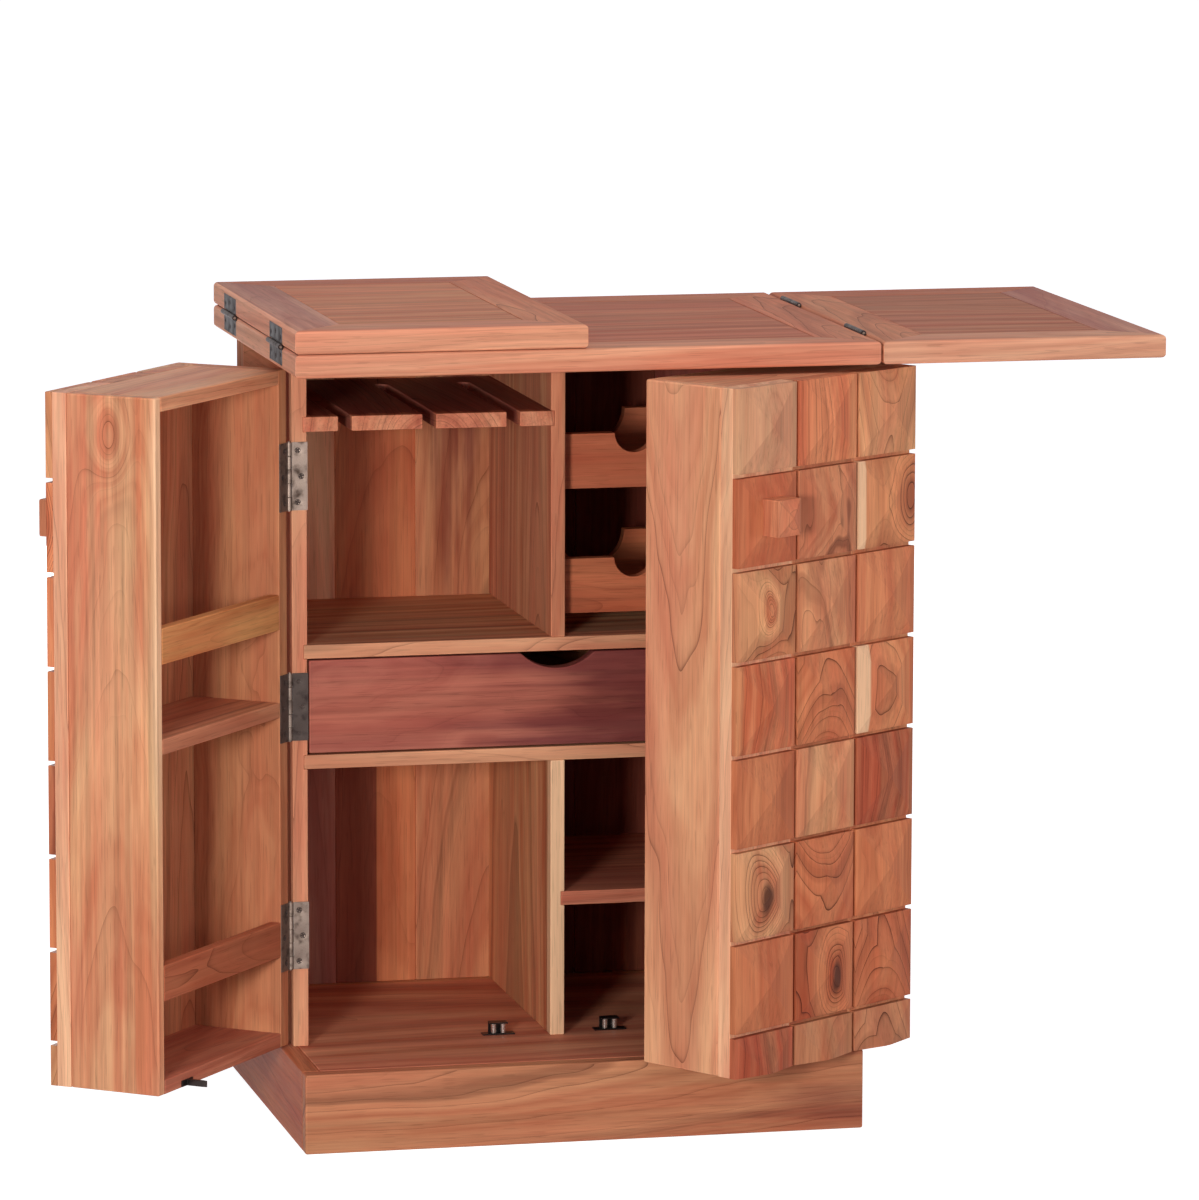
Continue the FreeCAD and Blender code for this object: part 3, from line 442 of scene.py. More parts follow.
class Finish:
    """The nodes of a material, or of the world, under work."""

    def __init__(self, owner):
        self.owner = owner
        owner.use_nodes = True
        self.tree = owner.node_tree
        self.tree.nodes.clear()

    def node(self, kind, settings=None, sockets=None, out=0):
        """Any node: its type, its settings, the values or links of its sockets, and which output."""
        made = self.tree.nodes.new(kind)
        for key, value in (settings or {}).items():
            setattr(made, key, value)
        for key, value in (sockets or {}).items():
            if isinstance(value, Socket):
                self.tree.links.new(value.socket, made.inputs[key])
            else:
                made.inputs[key].default_value = value
        return Socket(self, made.outputs[out]) if made.outputs else made

    def attribute(self, name, number=False):
        """A value that the points or faces of the piece carry."""
        out = "Fac" if number else "Vector"
        return self.node("ShaderNodeAttribute", {"attribute_name": name}, out=out)

    def place(self):
        """The point's place on the piece, in metres."""
        return self.node("ShaderNodeTexCoord", out="Object")

    def vector(self, operation, first, second=(0.0, 0.0, 0.0), out=0):
        """A sum on vectors or colours, or the length of one."""
        return self.node(
            "ShaderNodeVectorMath", {"operation": operation}, {0: first, 1: second}, out)

    def parts(self, vector):
        """The three numbers of a vector."""
        split = self.node("ShaderNodeSeparateXYZ", sockets={0: vector}).socket.node
        return [Socket(self, output) for output in split.outputs]

    def noise(self, vector, scale, detail=2.0):
        """Soft noise from 0 to 1, stretched by a scale for each axis."""
        return self.node("ShaderNodeTexNoise", sockets={
            "Vector": self.vector("MULTIPLY", vector, scale), "Scale": 1.0, "Detail": detail})

    def bands(self, value, detail=3.0):
        """Soft noise along one number."""
        return self.node("ShaderNodeTexNoise", {"noise_dimensions": "1D"}, {
            "W": value, "Scale": 1.0, "Detail": detail})

    def step(self, value, low, high):
        """0 below low, 1 above high, and a soft slope between."""
        return self.node("ShaderNodeMapRange", {"interpolation_type": "SMOOTHSTEP"}, {
            "Value": value, "From Min": low, "From Max": high})

    def mix(self, share, first, second):
        """A share of the second colour over the first."""
        return self.node(
            "ShaderNodeMix", {"data_type": "RGBA"}, {0: share, 6: first, 7: second}, 2)

    def bump(self, height, strength, depth):
        """The normal of a surface with small heights on it."""
        return self.node("ShaderNodeBump", sockets={
            "Height": height, "Strength": strength, "Distance": depth})

    def surface(self, **sockets):
        """The principled surface, and the material when it is done."""
        names = {key.replace("_", " "): value for key, value in sockets.items()}
        shader = self.node("ShaderNodeBsdfPrincipled", sockets=names)
        self.node("ShaderNodeOutputMaterial", sockets={"Surface": shader})
        return self.owner


def paint(red, green, blue):
    """A colour by the numbers a painter reads off a screen, 0 to 255, as light: the screen's own
    curve, straight near black and a power of 2.4 above."""
    share = np.array((red, green, blue)) / 255
    light = np.where(share <= 0.04045, share / 12.92, ((share + 0.055) / 1.055) ** 2.4)
    return (*light.tolist(), 1.0)


EARLY, HEART, LATE = paint(229, 174, 127), paint(178, 104, 72), paint(80, 40, 28)
print("pale acacia in light:", [round(part, 3) for part in EARLY[:3]])

# %% [markdown]
# Acacia is built as a tree builds it. The distance from the pith gives the growth rings; the trunk
# tapers, so the rings climb through a board as pointed arches; slow noise makes the grain wander,
# and a knot pushes the rings aside into closed eyes. On top come broad bands of colour that follow
# the rings, dark mineral smoke, fine fibres and short open pores, all stretched along the grain. A
# flat pattern laid on each face would break at the edges. This one fills space, so it runs on round
# an edge, and end grain shows rings by itself.

# %% Colours and figure of acacia
RING = 3.2 * MM
EYE = 0.030
WANDER = 0.035
SLOW_BEND, QUICK_BEND = (1.4, 8.0, 8.0), (7.0, 17.0, 17.0)
BANDS, DARK_BANDS, APART = 55.0, 41.0, 17.0
ACROSS, FLATTENED = (0.0, 1.0, 1.0), (1.0, 1.0, 0.0)
BLUSH = paint(196, 112, 88)
SMOKE = paint(112, 68, 52)
SAPWOOD = paint(232, 190, 148)
CLEAR = (1.0, 1.0, 1.0, 1.0)
# Colour that darkens part of a board: darker wood on some boards, painted shade on others.
DARKENING_AND_SHADE = (0.46, 0.37, 0.46, 1.0)
KNOT = paint(78, 42, 30)
# For each pattern: changes in a metre along and across the grain, detail, and where its step
# begins and ends.
FIGURE = {
    "mottle": (7.0, 26.0, 3.0, 0.30, 0.70),
    "cloud": (16.0, 62.0, 3.0, 0.30, 0.70),
    "streak": (1.2, 50.0, 3.0, 0.36, 0.64),
    "stripe": (1.6, 130.0, 3.0, 0.36, 0.64),
    "thread": (5.0, 250.0, 3.0, 0.30, 0.70),
    "fibre": (16.0, 800.0, 1.0, 0.25, 0.75),
    "pore": (30.0, 650.0, 0.0, 0.64, 0.72),
    "blush": (2.2, 14.0, 2.0, 0.35, 0.65),
}
print("figure:", ", ".join(FIGURE))

# %% [markdown]
# The recipe itself comes next. It is one function, because all finishes of the piece are the same
# wood and differ only in colour and shine.

# %% Acacia
def acacia(name, early, heart, late, rough=0.55, gloss=0.08):
    """Solid wood as a function of place: growth = distance from the pith + climb + wandering + curl
    + a bell round the knot; rings are its whole numbers, dark lines their last part, with a soft
    shade before each line. The colour goes from early wood to heart with the bands, takes blush,
    smoke and lines, then the board's tint, sapwood, dusk and the knot's core."""
    wood = Finish(bpy.data.materials.new(name))
    grain, knot = wood.attribute("grain"), wood.attribute("knot")
    rings, smoke, streaks = wood.parts(wood.attribute("figure"))
    mottle, cloud, streak, stripe, thread, fibre, pore, blush = (
        wood.step(wood.noise(grain, (along, across, across), detail), low, high)
        for along, across, detail, low, high in FIGURE.values())
    from_pith = wood.vector("LENGTH", wood.vector("MULTIPLY", grain, ACROSS), out="Value")
    from_knot = wood.vector("LENGTH", wood.vector("MULTIPLY", knot, FLATTENED), out="Value")
    slow, turn = wood.noise(grain, SLOW_BEND), wood.noise(grain, QUICK_BEND)
    eye = from_knot.math("EXPONENT", -(from_knot * from_knot))
    bend = (slow - 0.5) * WANDER + (turn - 0.5) * wood.attribute("curl", True)
    growth = from_pith + wood.attribute("climb", True) + bend + eye * EYE
    count = growth / RING
    ring = count.math("FLOOR", count)
    part = count - ring
    strong = wood.node("ShaderNodeTexWhiteNoise", {"noise_dimensions": "1D"}, {"W": ring})
    weight = wood.step(strong, 0.30, 0.95) * (0.6 + mottle * 0.4) + eye * 0.4
    line = (part ** 14.0 * 0.85 + part ** 3.0 * 0.2) * (weight * (rings + eye * 0.5))
    band = wood.step(wood.bands(growth * BANDS), 0.25, 0.75)
    dark_band = wood.step(wood.bands(growth * DARK_BANDS + APART), 0.56, 0.66) * smoke
    deep = band * 0.65 + mottle * 0.25 + cloud * 0.1 + streak * streaks * 0.5 - 0.12
    colour = wood.mix(deep, early, heart)
    colour = wood.mix(blush * 0.35, colour, BLUSH)
    colour = wood.mix(dark_band * 0.7, colour, SMOKE)
    colour = wood.mix(line, colour, late)
    colour = wood.vector("MULTIPLY", colour, wood.attribute("tint"))
    pale = wood.step(wood.attribute("sap", True) + (slow - 0.5) * 4.0, 0.0, 1.0)
    colour = wood.mix(pale * 0.8, colour, SAPWOOD)
    # Darkening towards one end or in one strip: darker wood on some boards, painted shade on others.
    ragged = ((streak - 0.5) * 1.4 + (mottle - 0.5) * 0.6) * streaks
    dark_wood_and_shade = wood.step(wood.attribute("dark_wood_and_shade", True) + ragged, 0.0, 1.0)
    dark_wood_and_shade = dark_wood_and_shade * wood.step(wood.attribute("dark_and_shade_strip", True), 0.0, 1.0)
    colour = wood.vector("MULTIPLY", colour, wood.mix(dark_wood_and_shade, CLEAR, DARKENING_AND_SHADE))
    core = (1.0 - wood.step(from_knot + (turn - 0.5) * 0.8, 0.10, 0.40)) * wood.parts(knot)[2]
    colour = wood.mix(core, colour, KNOT)
    # Lighter edges and ridges: partly wear, partly a painted highlight.
    rubbed_and_highlit = wood.attribute("rubbed_and_highlit", True) * (0.06 + mottle * 0.16)
    fine = fibre * 0.07 + thread * 0.13 - pore * 0.14 + (stripe - 0.5) * streaks * 0.22
    shade = 0.90 + mottle * 0.06 + (streak - 0.5) * streaks * 0.3 + fine + rubbed_and_highlit
    colour = wood.node(
        "ShaderNodeVectorMath", {"operation": "SCALE"}, {"Vector": colour, "Scale": shade})
    relief = fibre * 0.4 + thread * 0.4 - line * 0.4 - pore * 0.5 - core * 0.6
    return wood.surface(
        Base_Color=colour, Roughness=rough + (fibre - 0.5) * 0.10 + line * 0.05,
        Specular_IOR_Level=gloss, Normal=wood.bump(relief, 0.25, 0.35 * MM))


ACACIA = acacia("oiled_acacia", EARLY, HEART, LATE)
RAW_ACACIA = acacia("raw_acacia", EARLY, HEART, LATE, 0.8, 0.0)
RED_ACACIA = acacia(
    "red_acacia", paint(220, 160, 122), paint(184, 112, 82), paint(92, 48, 38), 0.62)
DARK_ACACIA = acacia(
    "dark_acacia", paint(206, 134, 112), paint(164, 92, 80), paint(86, 44, 40), 0.45)
print("nodes in a finish:", len(ACACIA.node_tree.nodes))

# %% [markdown]
# The plinth and the carcass come first. They are plain boards whose solids already have the right
# shape, so drawing them again would gain nothing: each only needs its cut. The plinth's front is one
# brown board that darkens towards its right end. Its brown, and the red of the left plinth side, are
# darker than the wood above: partly painted shade, for light that falls off towards the floor and for
# the open door's shadow on that side. The frames of the sides are raw, without shine. The planks of
# the back differ most. The two on the left are light above and dark below, partly darker wood and
# partly painted shade, and the second is dark over half its width only. The first is rosy, lighter
# than its wood, as painted light where the left side shades it. The third is brown with painted shade
# growing upwards, and the other three carry painted shade all over, for the deep shade of the bays on
# the right.

# %% Plinth and carcass
# The darker brown of the plinth's front is partly painted shade, for light that falls off towards the
# floor.
dress("plinth_front", ACACIA, [
    cut("mahogany", pith=(0.05, 0.05), smoke=0.6, dark_wood_and_shade=(0.3, 1.2), rings=1.0)], ROUNDED)
dress("plinth_back", ACACIA, [cut("brown")], ROUNDED)
# The red of the left side is painted shade, for the shadow of the open door.
dress("plinth_sides", ACACIA, [cut("red"), cut("brown")], ROUNDED)
dress("floor_panel", ACACIA, [
    cut("rose", along=0, pith=(0.05, 0.22), rings=0.3, streaks=0.3)])
STILE = cut("pink", pith=(0.12, 0.03), smoke=0.4)
for side in ("left", "right"):
    dress(f"{side}_side_frame", RAW_ACACIA, [cut("orange"), STILE, STILE, cut("russet")])
    dress(f"{side}_side_panel", ACACIA, [cut("tan", knot=(0.2, 0.1, 0.03, 0.6))])
# Painted shade on the planks: growing upwards, below (partly darker wood too), and all over the three
# in the shade of the right bays. The first plank's rosy tone is painted light.
SHADED_HIGHER, DARKER_AND_SHADED_LOWER, SHADED_ALL_OVER = (-0.05, 0.7), (0.08, -0.09), (-1.1, -0.4)
dress("back_planks", ACACIA, [
    cut("rosy", rings=0.4, dark_wood_and_shade=DARKER_AND_SHADED_LOWER),
    cut("rust", pith=(0.02, 0.16), rings=0.5, dark_wood_and_shade=DARKER_AND_SHADED_LOWER, dark_and_shade_strip=(-1, 0.52, 2 * MM)),
    cut("brown", pith=(0.06, 0.10), slope=0.08, smoke=0.7, rings=0.7, dark_wood_and_shade=SHADED_HIGHER),
    cut("plum", smoke=0.6, dark_wood_and_shade=SHADED_ALL_OVER),
    cut("red", rings=0.4, dark_wood_and_shade=SHADED_ALL_OVER),
    cut("plum", rings=0.4, dark_wood_and_shade=SHADED_ALL_OVER)])
dress("drawer_bottom_board", ACACIA, [cut("salmon", along=0)])
dress("drawer_top_board", ACACIA, [cut("grey", along=0, smoke=0.6)])
dress("upper_partition", ACACIA, [cut("umber", along=2)])
dress("lower_partition", ACACIA, [
    cut("tan", along=2, pith=(0.03, 0.18), sap=(-1, 0.06, 4 * MM), smoke=0.5, rings=0.4)])
dress("tumbler_shelf", ACACIA, [cut("plum", along=0)])

# %% [markdown]
# The racks in the upper bays are sawn from plain boards. By the rule of the longest side the hanging
# rack's grain would run across, but on the real one it runs to the back, so the front shows end
# grain, with the rings cut across as arcs. Behind that front edge the board is painted dark: painted
# shade for the shade on its underside.

# %% Racks
RAIL_EDGE = 1 * MM
RAILS = [cut("red", rings=0.7), cut("brick", rings=0.7)]
# Painted shade behind the front edge, for the shade under the rack.
dress("glass_rack", ACACIA, [
    cut("rose", along=1, pith=(0.01, -0.03), rings=1.6, dark_wood_and_shade=(-0.50, -0.44))])
dress("bottle_front_rails", ACACIA, RAILS, RAIL_EDGE)
dress("bottle_back_rails", ACACIA, RAILS, RAIL_EDGE)

# %% [markdown]
# The drawer has the darkest front of all, a mahogany red that turns almost black to the right. It
# has a finish of its own, redder and with more shine, because a tone alone can't change the shine.
# Its sides and bottom are plain boards that only show when it is pulled.

# %% Drawer
dress("drawer_front", DARK_ACACIA, [
    cut("mahogany", pith=(0.03, 0.12), smoke=0.7, streaks=0.6, rings=0.3, curl=1.2,
        dark_wood_and_shade=(-0.20, 0.08))], EASED)
dress("drawer_sides", ACACIA, [cut("orange")])
dress("drawer_back", ACACIA, [cut("tan")])
dress("drawer_bottom", ACACIA, [cut("pale", along=0)])

# %% [markdown]
# The top and its two folding leaves are panels in mitred frames. The panel's grain runs from side to
# side; the frame's grain follows each frame piece, so at a mitre it meets at a right angle. The ends
# of the leaves are rounded over far more than the other edges. The left piece of each frame carries
# painted shade on its top face and is painted lighter, rosy, at its end, which faces the key light,
# so its shade keeps to a strip.

# %% Top and leaves
# Painted shade on the top face of the left piece, with a lighter end as painted light.
MOSTLY_SHADED = (-3.0, 1.5)
LEFT_PIECE = cut("rosy", rings=0.4, streaks=0.15, dark_wood_and_shade=MOSTLY_SHADED, dark_and_shade_strip=(1, 0.96, 1 * MM))
BACK_PIECE = cut("russet", rings=0.5)
RIGHT_PIECE = cut("orange", rings=1.0, smoke=0.3)
FRONT_AND_PANEL = {
    "top": ("salmon", "russet"),
    "left_leaf": ("salmon", "honey"),
    "right_leaf": ("pink", "mahogany"),
}
for name, (front, panel) in FRONT_AND_PANEL.items():
    low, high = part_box(f"{name}_frame")
    framed = [LEFT_PIECE, cut(front, rings=0.5, smoke=0.2), BACK_PIECE, RIGHT_PIECE]
    dress(f"{name}_frame", RED_ACACIA, framed, ROUNDED, ends=(low.x, high.x))
    dress(f"{name}_panel", RED_ACACIA, [
        cut(panel, along=0, pith=(0.1, 0.16), rings=0.4, streaks=0.7)], ROUNDED)

# %% [markdown]
# The doors are shallow boxes. Their free sides are the most striking boards of the piece: pale, with
# an eye of a knot near the top of the left one and sapwood along its open edge. The planks behind the
# tiles show only their edges, which are the palest wood of all at the free sides. The knob's edges
# are rounded most of all, and from a small angle on.

# %% Door boxes
KNOB_EDGE, KNOB_SHARP = 3.5 * MM, 10
dress("left_door_free_side", ACACIA, [
    cut("pale", pith=(0.01, 0.10), slope=0.05, knot=(0.44, -0.02, 0.022, 0.0),
        sap=(1, 0.05, 14 * MM), rings=0.45, smoke=0.3, streaks=1.1)], ROUNDED)
dress("right_door_free_side", ACACIA, [
    cut("salmon", pith=(0.01, 0.12), slope=-0.05, rings=0.9, smoke=0.1, streaks=0.2)], ROUNDED)
BACKING = [cut("rosy"), cut("russet", smoke=0.6), cut("orange")]
dress("left_door_backing", ACACIA, BACKING[::-1], CRISP)
dress("right_door_backing", ACACIA, BACKING, CRISP)
# The hinge sides' brown is darker than their wood: partly painted shade, as of bottles standing in
# the doors.
HINGE_SIDE = cut("brown", pith=(0.04, 0.09), smoke=0.3, rings=0.4, curl=1.0)
GUARDS = [cut("straw", rings=0.2, smoke=0.0), cut("red", rings=0.6)]
KNOB = cut("russet", along=2, rings=0.5)
for side in ("left", "right"):
    dress(f"{side}_door_hinge_side", ACACIA, [HINGE_SIDE])
    dress(f"{side}_door_top", ACACIA, [cut("salmon", smoke=0.5)], EASED)
    dress(f"{side}_door_bottom", ACACIA, [cut("plum", rings=0.4)], EASED)
    dress(f"{side}_door_shelf", ACACIA, [cut("umber", smoke=0.5, rings=0.5)])
    dress(f"{side}_door_guards", ACACIA, GUARDS)
    dress(f"{side}_door_knob", ACACIA, [KNOB], KNOB_EDGE, KNOB_SHARP)

# %% [markdown]
# Twenty-four low pyramids face each door, sawn from whatever was left: red, grey, tan, with knots,
# eyes and strips of sapwood. So each gets a cut of its own, listed row by row from the top.

# %% Cuts of the tiles
FLAT_SAWN = (0.0, 0.25)


def arch(tone, slope, behind=0.05, rings=1.6):
    """A tile with nested arches: sawn near the pith, with rings that climb steeply."""
    return cut(tone, pith=(0.0, behind), slope=slope, rings=rings, smoke=0.3, curl=0.25)


def knotted(tone, along, across, reach, core):
    """A tile sawn flat, so that the rings close round its knot."""
    return cut(tone, pith=FLAT_SAWN, knot=(along, across, reach, core), rings=1.5, smoke=0.3,
               curl=0.35)


PLAIN = cut("amber", rings=0.3, smoke=0.1, streaks=0.3, curl=0.8)
SWIRL = cut("russet", pith=(0.02, 0.06), slope=0.15, rings=0.8, smoke=0.9, curl=1.8)
STRIPES = cut("red", pith=(0.1, 0.03), rings=1.4, smoke=0.9, streaks=1.0)
TILES = [
    cut("grey", rings=0.2, smoke=0.1),
    cut("amber", pith=(-0.06, 0.02), rings=1.5),
    arch("tan", -0.15, 0.04, 0.9),
    cut("brick", rings=0.4, smoke=0.3),
    SWIRL,
    dict(knotted("amber", 0.0, 0.42, 0.030, 0.2), sap=(-1, 0.10, 3 * MM)),
    knotted("gold", 0.05, 0.0, 0.013, 0.0),
    cut("orange", smoke=0.5, curl=1.5),
    PLAIN,
    dict(STRIPES, tone="amber"),
    arch("rust", 0.35),
    cut("amber", sap=(-1, 0.22, 3 * MM), rings=1.2),
    dict(PLAIN, tone="brick"),
    cut("tan", smoke=0.8, curl=1.0, rings=0.4),
    STRIPES,
    knotted("tan", -0.05, -0.05, 0.030, 0.9),
    arch("rust", -0.30),
    dict(PLAIN, tone="rust"),
    dict(PLAIN, tone="brick"),
    knotted("brick", -0.1, 0.15, 0.028, 0.9),
    arch("brick", 0.25, 0.04),
    STRIPES,
    cut("brown"),
    arch("brown", 0.3),
]
print("cuts for", len(TILES), "tiles")

# %% [markdown]
# The grain stands upright in all tiles. Their ridges are only a few degrees sharp, so the softening
# starts at a small angle here, and the narrow faces along the ridges get a little of the lighter
# edge colour, a painted highlight.

# %% Tiles
RIDGE_SHARP, RIDGE_HIGHLIGHT = 5, 0.35
UPRIGHT = [dict(tile, along=2) for tile in TILES]
for side in ("left", "right"):
    dress(f"{side}_door_tiles", ACACIA, UPRIGHT, EASED, RIDGE_SHARP, ridge=RIDGE_HIGHLIGHT)

# %% [markdown]
# Steel next. The butt hinges are old-fashioned: bare sheet with a grey-brown skin, dark where it was
# heated, and almost black on the top. The roller catches are black with bright rollers. A painted
# colour would look like plastic, so each is a metal whose noise darkens it in patches and whose
# scratches blur its shine.

# %% Steel
SCRATCHES = (1900.0, 1900.0, 240.0)
SPECKS = (900.0, 900.0, 900.0)
SPECK = paint(52, 44, 40)
BURNT = paint(40, 31, 30)


def steel(name, bright, dull, patch_share, rough, scale):
    """Bare metal: large dark patches from noise, fine scratches along one way, rougher where dark,
    and hardly a metal where it is burnt."""
    metal = Finish(bpy.data.materials.new(name))
    place = metal.place()
    patches = metal.noise(place, (scale, scale, scale), 4.0)
    patch = metal.step(patches, 0.5 - patch_share, 0.8 - patch_share)
    scratch = metal.noise(place, SCRATCHES)
    speck = metal.step(metal.noise(place, SPECKS), 0.56, 0.66)
    burnt = metal.attribute("burnt", True)
    colour = metal.mix(patch, bright, dull)
    colour = metal.mix(speck * 0.2, colour, SPECK)
    colour = metal.mix(burnt, colour, BURNT)
    return metal.surface(
        Base_Color=colour, Metallic=0.9 - patch * 0.25 - burnt * 0.75,
        Roughness=rough + patch * 0.18 + (scratch - 0.5) * 0.2, Specular_IOR_Level=0.15,
        Normal=metal.bump(scratch + patch * 0.4, 0.15, 0.08 * MM))


AGED_STEEL = steel("aged_steel", paint(142, 124, 112), paint(80, 65, 56), 0.05, 0.44, 90.0)
DARK_STEEL = steel("dark_steel", paint(84, 70, 66), paint(48, 40, 40), 0.05, 0.46, 70.0)
BLACK_STEEL = steel("black_steel", paint(58, 50, 48), paint(26, 24, 24), 0.0, 0.30, 160.0)
BRIGHT_STEEL = steel(
    "bright_steel", paint(214, 208, 200), paint(150, 140, 132), -0.05, 0.18, 200.0)
print("steel:", AGED_STEEL.name, DARK_STEEL.name, BLACK_STEEL.name, BRIGHT_STEEL.name)

# %% [markdown]
# Each hinge leaf is found on the CAD solid: where its pin runs, which way the sheet reaches and on
# which side of the pin it lies. With those three directions the parts can be drawn flat, in the
# hinge's own millimetres, and set in place afterwards.

# %% Directions of a hinge leaf
OUT_ON_THE_SHEET = 0.6


def hinge_axes(points, joint):
    """Pin, run, reach and lift of a leaf, its span along the pin, its reach and its sheet's faces.

    The farthest point from the pin shows the way of the sheet; the points out there show its two
    faces."""
    pin = np.array(joint["pos_m"])
    run = np.abs(np.array(joint["axis"], float))
    offset = points - pin
    flat = offset - np.outer(offset @ run, run)
    far = flat[np.argmax(np.abs(flat).max(axis=1))]
    reach = np.where(np.arange(3) == np.argmax(np.abs(far)), np.sign(far), 0.0)
    lift = np.cross(run, reach)
    sheet = flat[flat @ reach > OUT_ON_THE_SHEET * (flat @ reach).max()] @ lift
    if sheet.mean() < 0:
        lift, sheet = -lift, -sheet
    span = offset @ run
    return dict(pin=pin, axes=np.array((run, reach, lift)), start=span.min(), length=np.ptp(span),
                reach=(flat @ reach).max(), faces=(sheet.min(), sheet.max()))


def joined(parts):
    """Several parts, each of points and blocks of faces, as one: the numbers in a block move up by
    the points that come before its part."""
    shift = np.cumsum([0] + [len(points) for points, _ in parts[:-1]])
    blocks = [block + before for (_, own), before in zip(parts, shift) for block in own]
    return np.concatenate([points for points, _ in parts]), blocks


def grid_faces(rows, columns, close_rows=False, close_columns=True):
    """Four-cornered faces of a grid of points, row by row, closed round where asked."""
    row = np.arange(rows if close_rows else rows - 1)[:, None]
    column = np.arange(columns if close_columns else columns - 1)[None, :]
    next_row, next_column = (row + 1) % rows, (column + 1) % columns
    corners = (row * columns + column, row * columns + next_column,
               next_row * columns + next_column, next_row * columns + column)
    return np.stack(np.broadcast_arrays(*corners), axis=-1).reshape(-1, 4)


sample = shut(boards_of("left_door_hinge_leaves")[0].astype(float), "left_door")
print("door hinge reach", round(hinge_axes(sample, JOINTS["left_door"])["reach"] / MM, 2), "mm")

# %% [markdown]
# The sheet is drawn in three plates, each round one screw: rays go out from the screw's middle, and
# along each ray lie the countersink, the plate's edge and its back. Holes cut with a Boolean would
# leave ragged faces; rays leave none. A screw is a disc with a cross pressed into it.

# %% Plates and screws of a hinge leaf
SCREW = 3.7 * MM
BORE, CONE, CONE_DEPTH = 0.45 * SCREW, 1.06 * SCREW, 0.8 * MM
RAYS = 40
TINY = 1e-9
HEAD_GRID = 17
SUNK, DISHED, CROSS_DEPTH = 0.12 * MM, 0.15 * MM, 0.7 * MM
CROSS_HALF, CROSS_REACH, CROSS_WALL = 0.30, 0.75, 0.12


def screw_plate(first, last, near, far, hole, front, back):
    """A plate with a countersunk hole: rings of points on rays from the hole's middle, first the
    bore at the back, then the cone, then the plate's border in front and behind."""
    corner = np.array([(x, y) for x in (first, last) for y in (near, far)]) - hole
    angle = np.sort(np.concatenate((np.linspace(-np.pi, np.pi, RAYS, endpoint=False),
                                    np.arctan2(corner[:, 1], corner[:, 0]))))
    ray = np.stack((np.cos(angle), np.sin(angle)), axis=1)
    walls = np.stack((np.where(ray[:, 0] > 0, last - hole[0], first - hole[0]),
                      np.where(ray[:, 1] > 0, far - hole[1], near - hole[1])), axis=1)
    border = (np.abs(walls) / np.maximum(np.abs(ray), TINY)).min(axis=1)[:, None]
    rings = ((BORE, back), (BORE, front + CONE_DEPTH), (CONE, front),
             (border, front), (border, back))
    points = [np.column_stack((hole + ray * radius, np.full(len(ray), height)))
              for radius, height in rings]
    return np.concatenate(points), [grid_faces(len(rings), len(ray), close_rows=True)]


def screw_head(middle, front, turn):
    """A disc sunk in the plate, on a square grid drawn round; a cross is pressed in where either
    axis is near nought, with sloping walls."""
    side = np.linspace(-1, 1, HEAD_GRID)
    x, y = np.meshgrid(side, side, indexing="ij")
    round_x, round_y = x * np.sqrt(1 - y * y / 2), y * np.sqrt(1 - x * x / 2)
    aside, out = np.minimum(np.abs(x), np.abs(y)), np.maximum(np.abs(x), np.abs(y))
    cross = (np.clip((CROSS_HALF - aside) / CROSS_WALL, 0, 1)
             * np.clip((CROSS_REACH - out) / CROSS_WALL, 0, 1))
    depth = front + SUNK + DISHED * (round_x**2 + round_y**2) + CROSS_DEPTH * cross
    points = np.stack((
        middle[0] + SCREW * (round_x * math.cos(turn) - round_y * math.sin(turn)),
        middle[1] + SCREW * (round_x * math.sin(turn) + round_y * math.cos(turn)), depth), axis=-1)
    return points.reshape(-1, 3), [grid_faces(HEAD_GRID, HEAD_GRID, close_columns=False)]


print("a screw head has", (HEAD_GRID - 1) ** 2, "faces")

# %% [markdown]
# Knuckles are one outline, a circle that runs out into the sheet, carried along the pin. The leaf on
# the still side has the first, third and fifth of them, the other leaf those in between.

# %% Knuckles and whole hinge leaves
SCREW_IN = (9.6 * MM, 13.6 * MM, 9.6 * MM)
SCREW_FROM_END = 9 * MM
BARREL, BARREL_ROOM, OVERLAP = 2.9 * MM, 3.2 * MM, 0.2 * MM
BARREL_POINTS = 26
CHAMFER = 0.35 * MM
KNUCKLES = 5
HALF_PLAY = 0.15 * MM
SCREW_BURN, KNUCKLE_BURN = 0.8, 0.4


def knuckle(first, last, faces):
    """The barrel's outline, a circle open where the sheet runs in, carried from first to last with a
    small chamfer at both ends."""
    low, high = (math.asin(face / BARREL) for face in faces)
    angle = np.linspace(high, low + 2 * np.pi, BARREL_POINTS)
    ring = np.stack((np.cos(angle), np.sin(angle)), axis=1) * BARREL
    outline = np.concatenate((ring, [(BARREL_ROOM + OVERLAP, face) for face in faces]))
    count = len(outline)
    less = 1 - CHAMFER / BARREL
    steps = ((first, less), (first + CHAMFER, 1), (last - CHAMFER, 1), (last, less))
    points = [np.column_stack((np.full(count, run), outline * share)) for run, share in steps]
    ends = np.stack((np.arange(count)[::-1], np.arange(count) + (len(steps) - 1) * count))
    return np.concatenate(points), [grid_faces(len(steps), count), ends]


